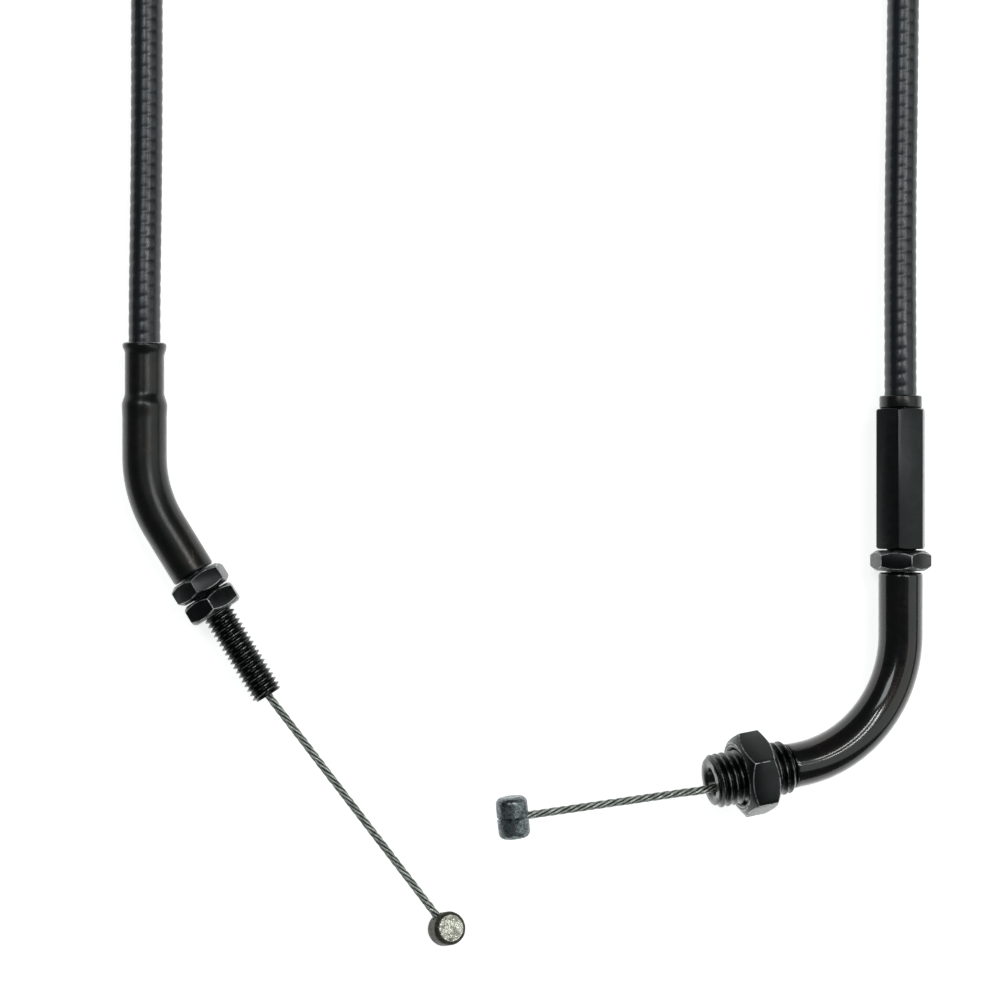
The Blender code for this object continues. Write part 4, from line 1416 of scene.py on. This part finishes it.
# %% [markdown]
# ## The inner wires at both ends
#
# It is one wire, but only its two ends show. Each end is drawn out of its fitting, or pulled into
# it, while the rest stays where it is. Each end is built as a piece of its own along its path.

# %% Inner wires
ROPE = {
    "Rope Diameter": 1.5 * MM,
    "Strand Diameter": 0.52 * MM,
    "Strands": 6,
    "Wires in a Strand": 6,
    "Lay Length": 10.8 * MM,
    "Ring Spacing": 0.4 * MM,
    "Material": galvanised_wire,
}


def rope_piece(name, points, node):
    mesh = settle(grown(plain_curve(name, points), laid_rope, ROPE))
    made = finish_piece(name, mesh, [galvanised_wire], None, [node], sharp=80)
    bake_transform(made)


inside = SLEEVE_MOUTH - SLEEVE_AXIS * SLEEVE_LENGTH / 2
lean = smooth_path(
    [
        throttle_arc[-1],
        inside + ACROSS_SLEEVE * WIRE_OFFSET / 2,
        THROTTLE_WIRE_MOUTH,
        THROTTLE_WIRE_MOUTH + THROTTLE_WIRE_AXIS * SLEEVE_LENGTH / 2,
    ],
    8,
)
throttle_line = [on_throttle_leg(FLANGE_Y - MM)] + throttle_arc[:-1] + lean
throttle_line.append(THROTTLE_BARREL_AT + THROTTLE_WIRE_AXIS * MM)
rope_piece(
    "throttle_inner_wire",
    throttle_line,
    "throttle_wire",
)

carb_line = [on_carb_leg(CARB_RIM_Y - 20 * MM)] + carb_arc + [CARB_MOUTH - CARB_AXIS * MM]
carb_line += [CARB_MOUTH + CARB_WIRE_AXIS * MM, CARB_BARREL_AT + CARB_WIRE_AXIS * MM]
rope_piece(
    "carburettor_inner_wire",
    carb_line,
    "carb_wire",
)

# %% [markdown]
# ## The two cast ends
#
# Each barrel hooks into a slot: the longer one in the throttle grip, and the short one in the
# carburettor's lever. They are cast in two-part dies, so the throttle barrel has a parting groove
# round its middle where the halves don't quite meet, and rounded ends. The carburettor barrel is a
# short plug whose end was sheared flat and bright. A little noise on every vertex gives the cast
# skin, and each has a drilled mouth for the wire.


# %% Cast barrels
def cast_skin(mesh, depth, size):
    """Moves the points by a smooth noise, as a worn die does."""
    for point in mesh.vertices:
        shift = noise.noise(point.co / size) + 0.5 * noise.noise(point.co / size * 2.7)
        point.co += Vector(point.normal) * shift * depth


def drilled(mesh, high):
    """The mesh with the wire's mouth drilled into it along local X, from a height down."""
    tool = turned([(MOUTH_RADIUS, MOUTH_START), (MOUTH_RADIUS, high)], sides=32)
    return combined(mesh, tool, "DIFFERENCE", frame_at((0, 0, 0), (1, 0, 0), UP))


BARREL_D = 5.7 * MM
BARREL_LENGTH = 7.5 * MM
BARREL_ROUNDING = 1.2 * MM
PARTING_WIDTH = 0.28 * MM
HALVES_OFFSET = 0.07 * MM
SKIN_STEP = 0.35 * MM
MOUTH_RADIUS = 1.05 * MM
MOUTH_START = -1.3 * MM

half = BARREL_LENGTH / 2
radius = BARREL_D / 2
profile = [(radius * part, half - 0.02 * MM) for part in (0.08, 0.3)]
profile += rounding(radius, half - BARREL_ROUNDING, BARREL_ROUNDING, 90, 0, 8)
sides_at = spread(half - BARREL_ROUNDING - 0.3 * MM, PARTING_WIDTH + 0.3 * MM, SKIN_STEP)
profile += [(radius, height) for height in sides_at]
profile += [(radius + 0.03 * MM, PARTING_WIDTH), (radius - 0.22 * MM, 0.07 * MM)]
outline = profile + [(r, -z) for r, z in reversed(profile)]
barrel_mesh = turned(outline, sides=72)
for point in barrel_mesh.vertices:
    if point.co.z < 0:
        point.co.y += HALVES_OFFSET
cast_skin(barrel_mesh, 0.035 * MM, 1.1 * MM)
barrel_mesh = drilled(barrel_mesh, radius + MM)
barrel_mesh.transform(
    frame_at(THROTTLE_BARREL_AT, THROTTLE_WIRE_AXIS.cross(UP), -THROTTLE_WIRE_AXIS)
)
finish_piece(
    "throttle_barrel_end",
    barrel_mesh,
    [cast_zinc],
    "throttle_end",
    ["throttle_barrel"],
)

# %% Sheared carburettor barrel
PLUG_D = 6.3 * MM
PLUG_LENGTH = 4.8 * MM
PLUG_TILT = math.radians(25.5)
DISC_RADIUS = 2.35 * MM

radius = PLUG_D / 2
half = PLUG_LENGTH / 2
profile = [(DISC_RADIUS * part / 6, half + 0.02 * MM * (part % 2)) for part in range(1, 6)]
profile += [(DISC_RADIUS, half), (DISC_RADIUS + 0.12 * MM, half - 0.16 * MM)]
profile += rounding(radius, half - 0.9 * MM, radius - DISC_RADIUS - 0.12 * MM, 70, 0, 6)
profile += [(radius, height) for height in spread(half - 1.2 * MM, -half + 0.6 * MM, SKIN_STEP)]
profile += [(radius - 0.1 * MM, -half + 0.25 * MM), (radius - 0.4 * MM, -half), (MM, -half)]
plug_mesh = turned(profile, sides=72)
cast_skin(plug_mesh, 0.04 * MM, 0.9 * MM)
plug_mesh = drilled(plug_mesh, PLUG_D)
level = UP.cross(CARB_WIRE_AXIS).normalized()
plug_axis = level * math.sin(PLUG_TILT) + CARB_WIRE_AXIS.cross(level) * math.cos(PLUG_TILT)
plug_place = frame_at(CARB_BARREL_AT, plug_axis, -CARB_WIRE_AXIS)
# The plug's side takes the darker copy of the zinc, which is painted shade; its sheared face takes the
# bright finish.
plug = finish_piece(
    "carburettor_barrel_end",
    plug_mesh,
    [shaded_zinc_copy, sheared_zinc],
    "carb_end",
    ["carb_barrel"],
)
wear(plug.data, lambda face: face.center.z > half - 0.1 * MM)
plug.data.transform(plug_place)
plug.data.update()
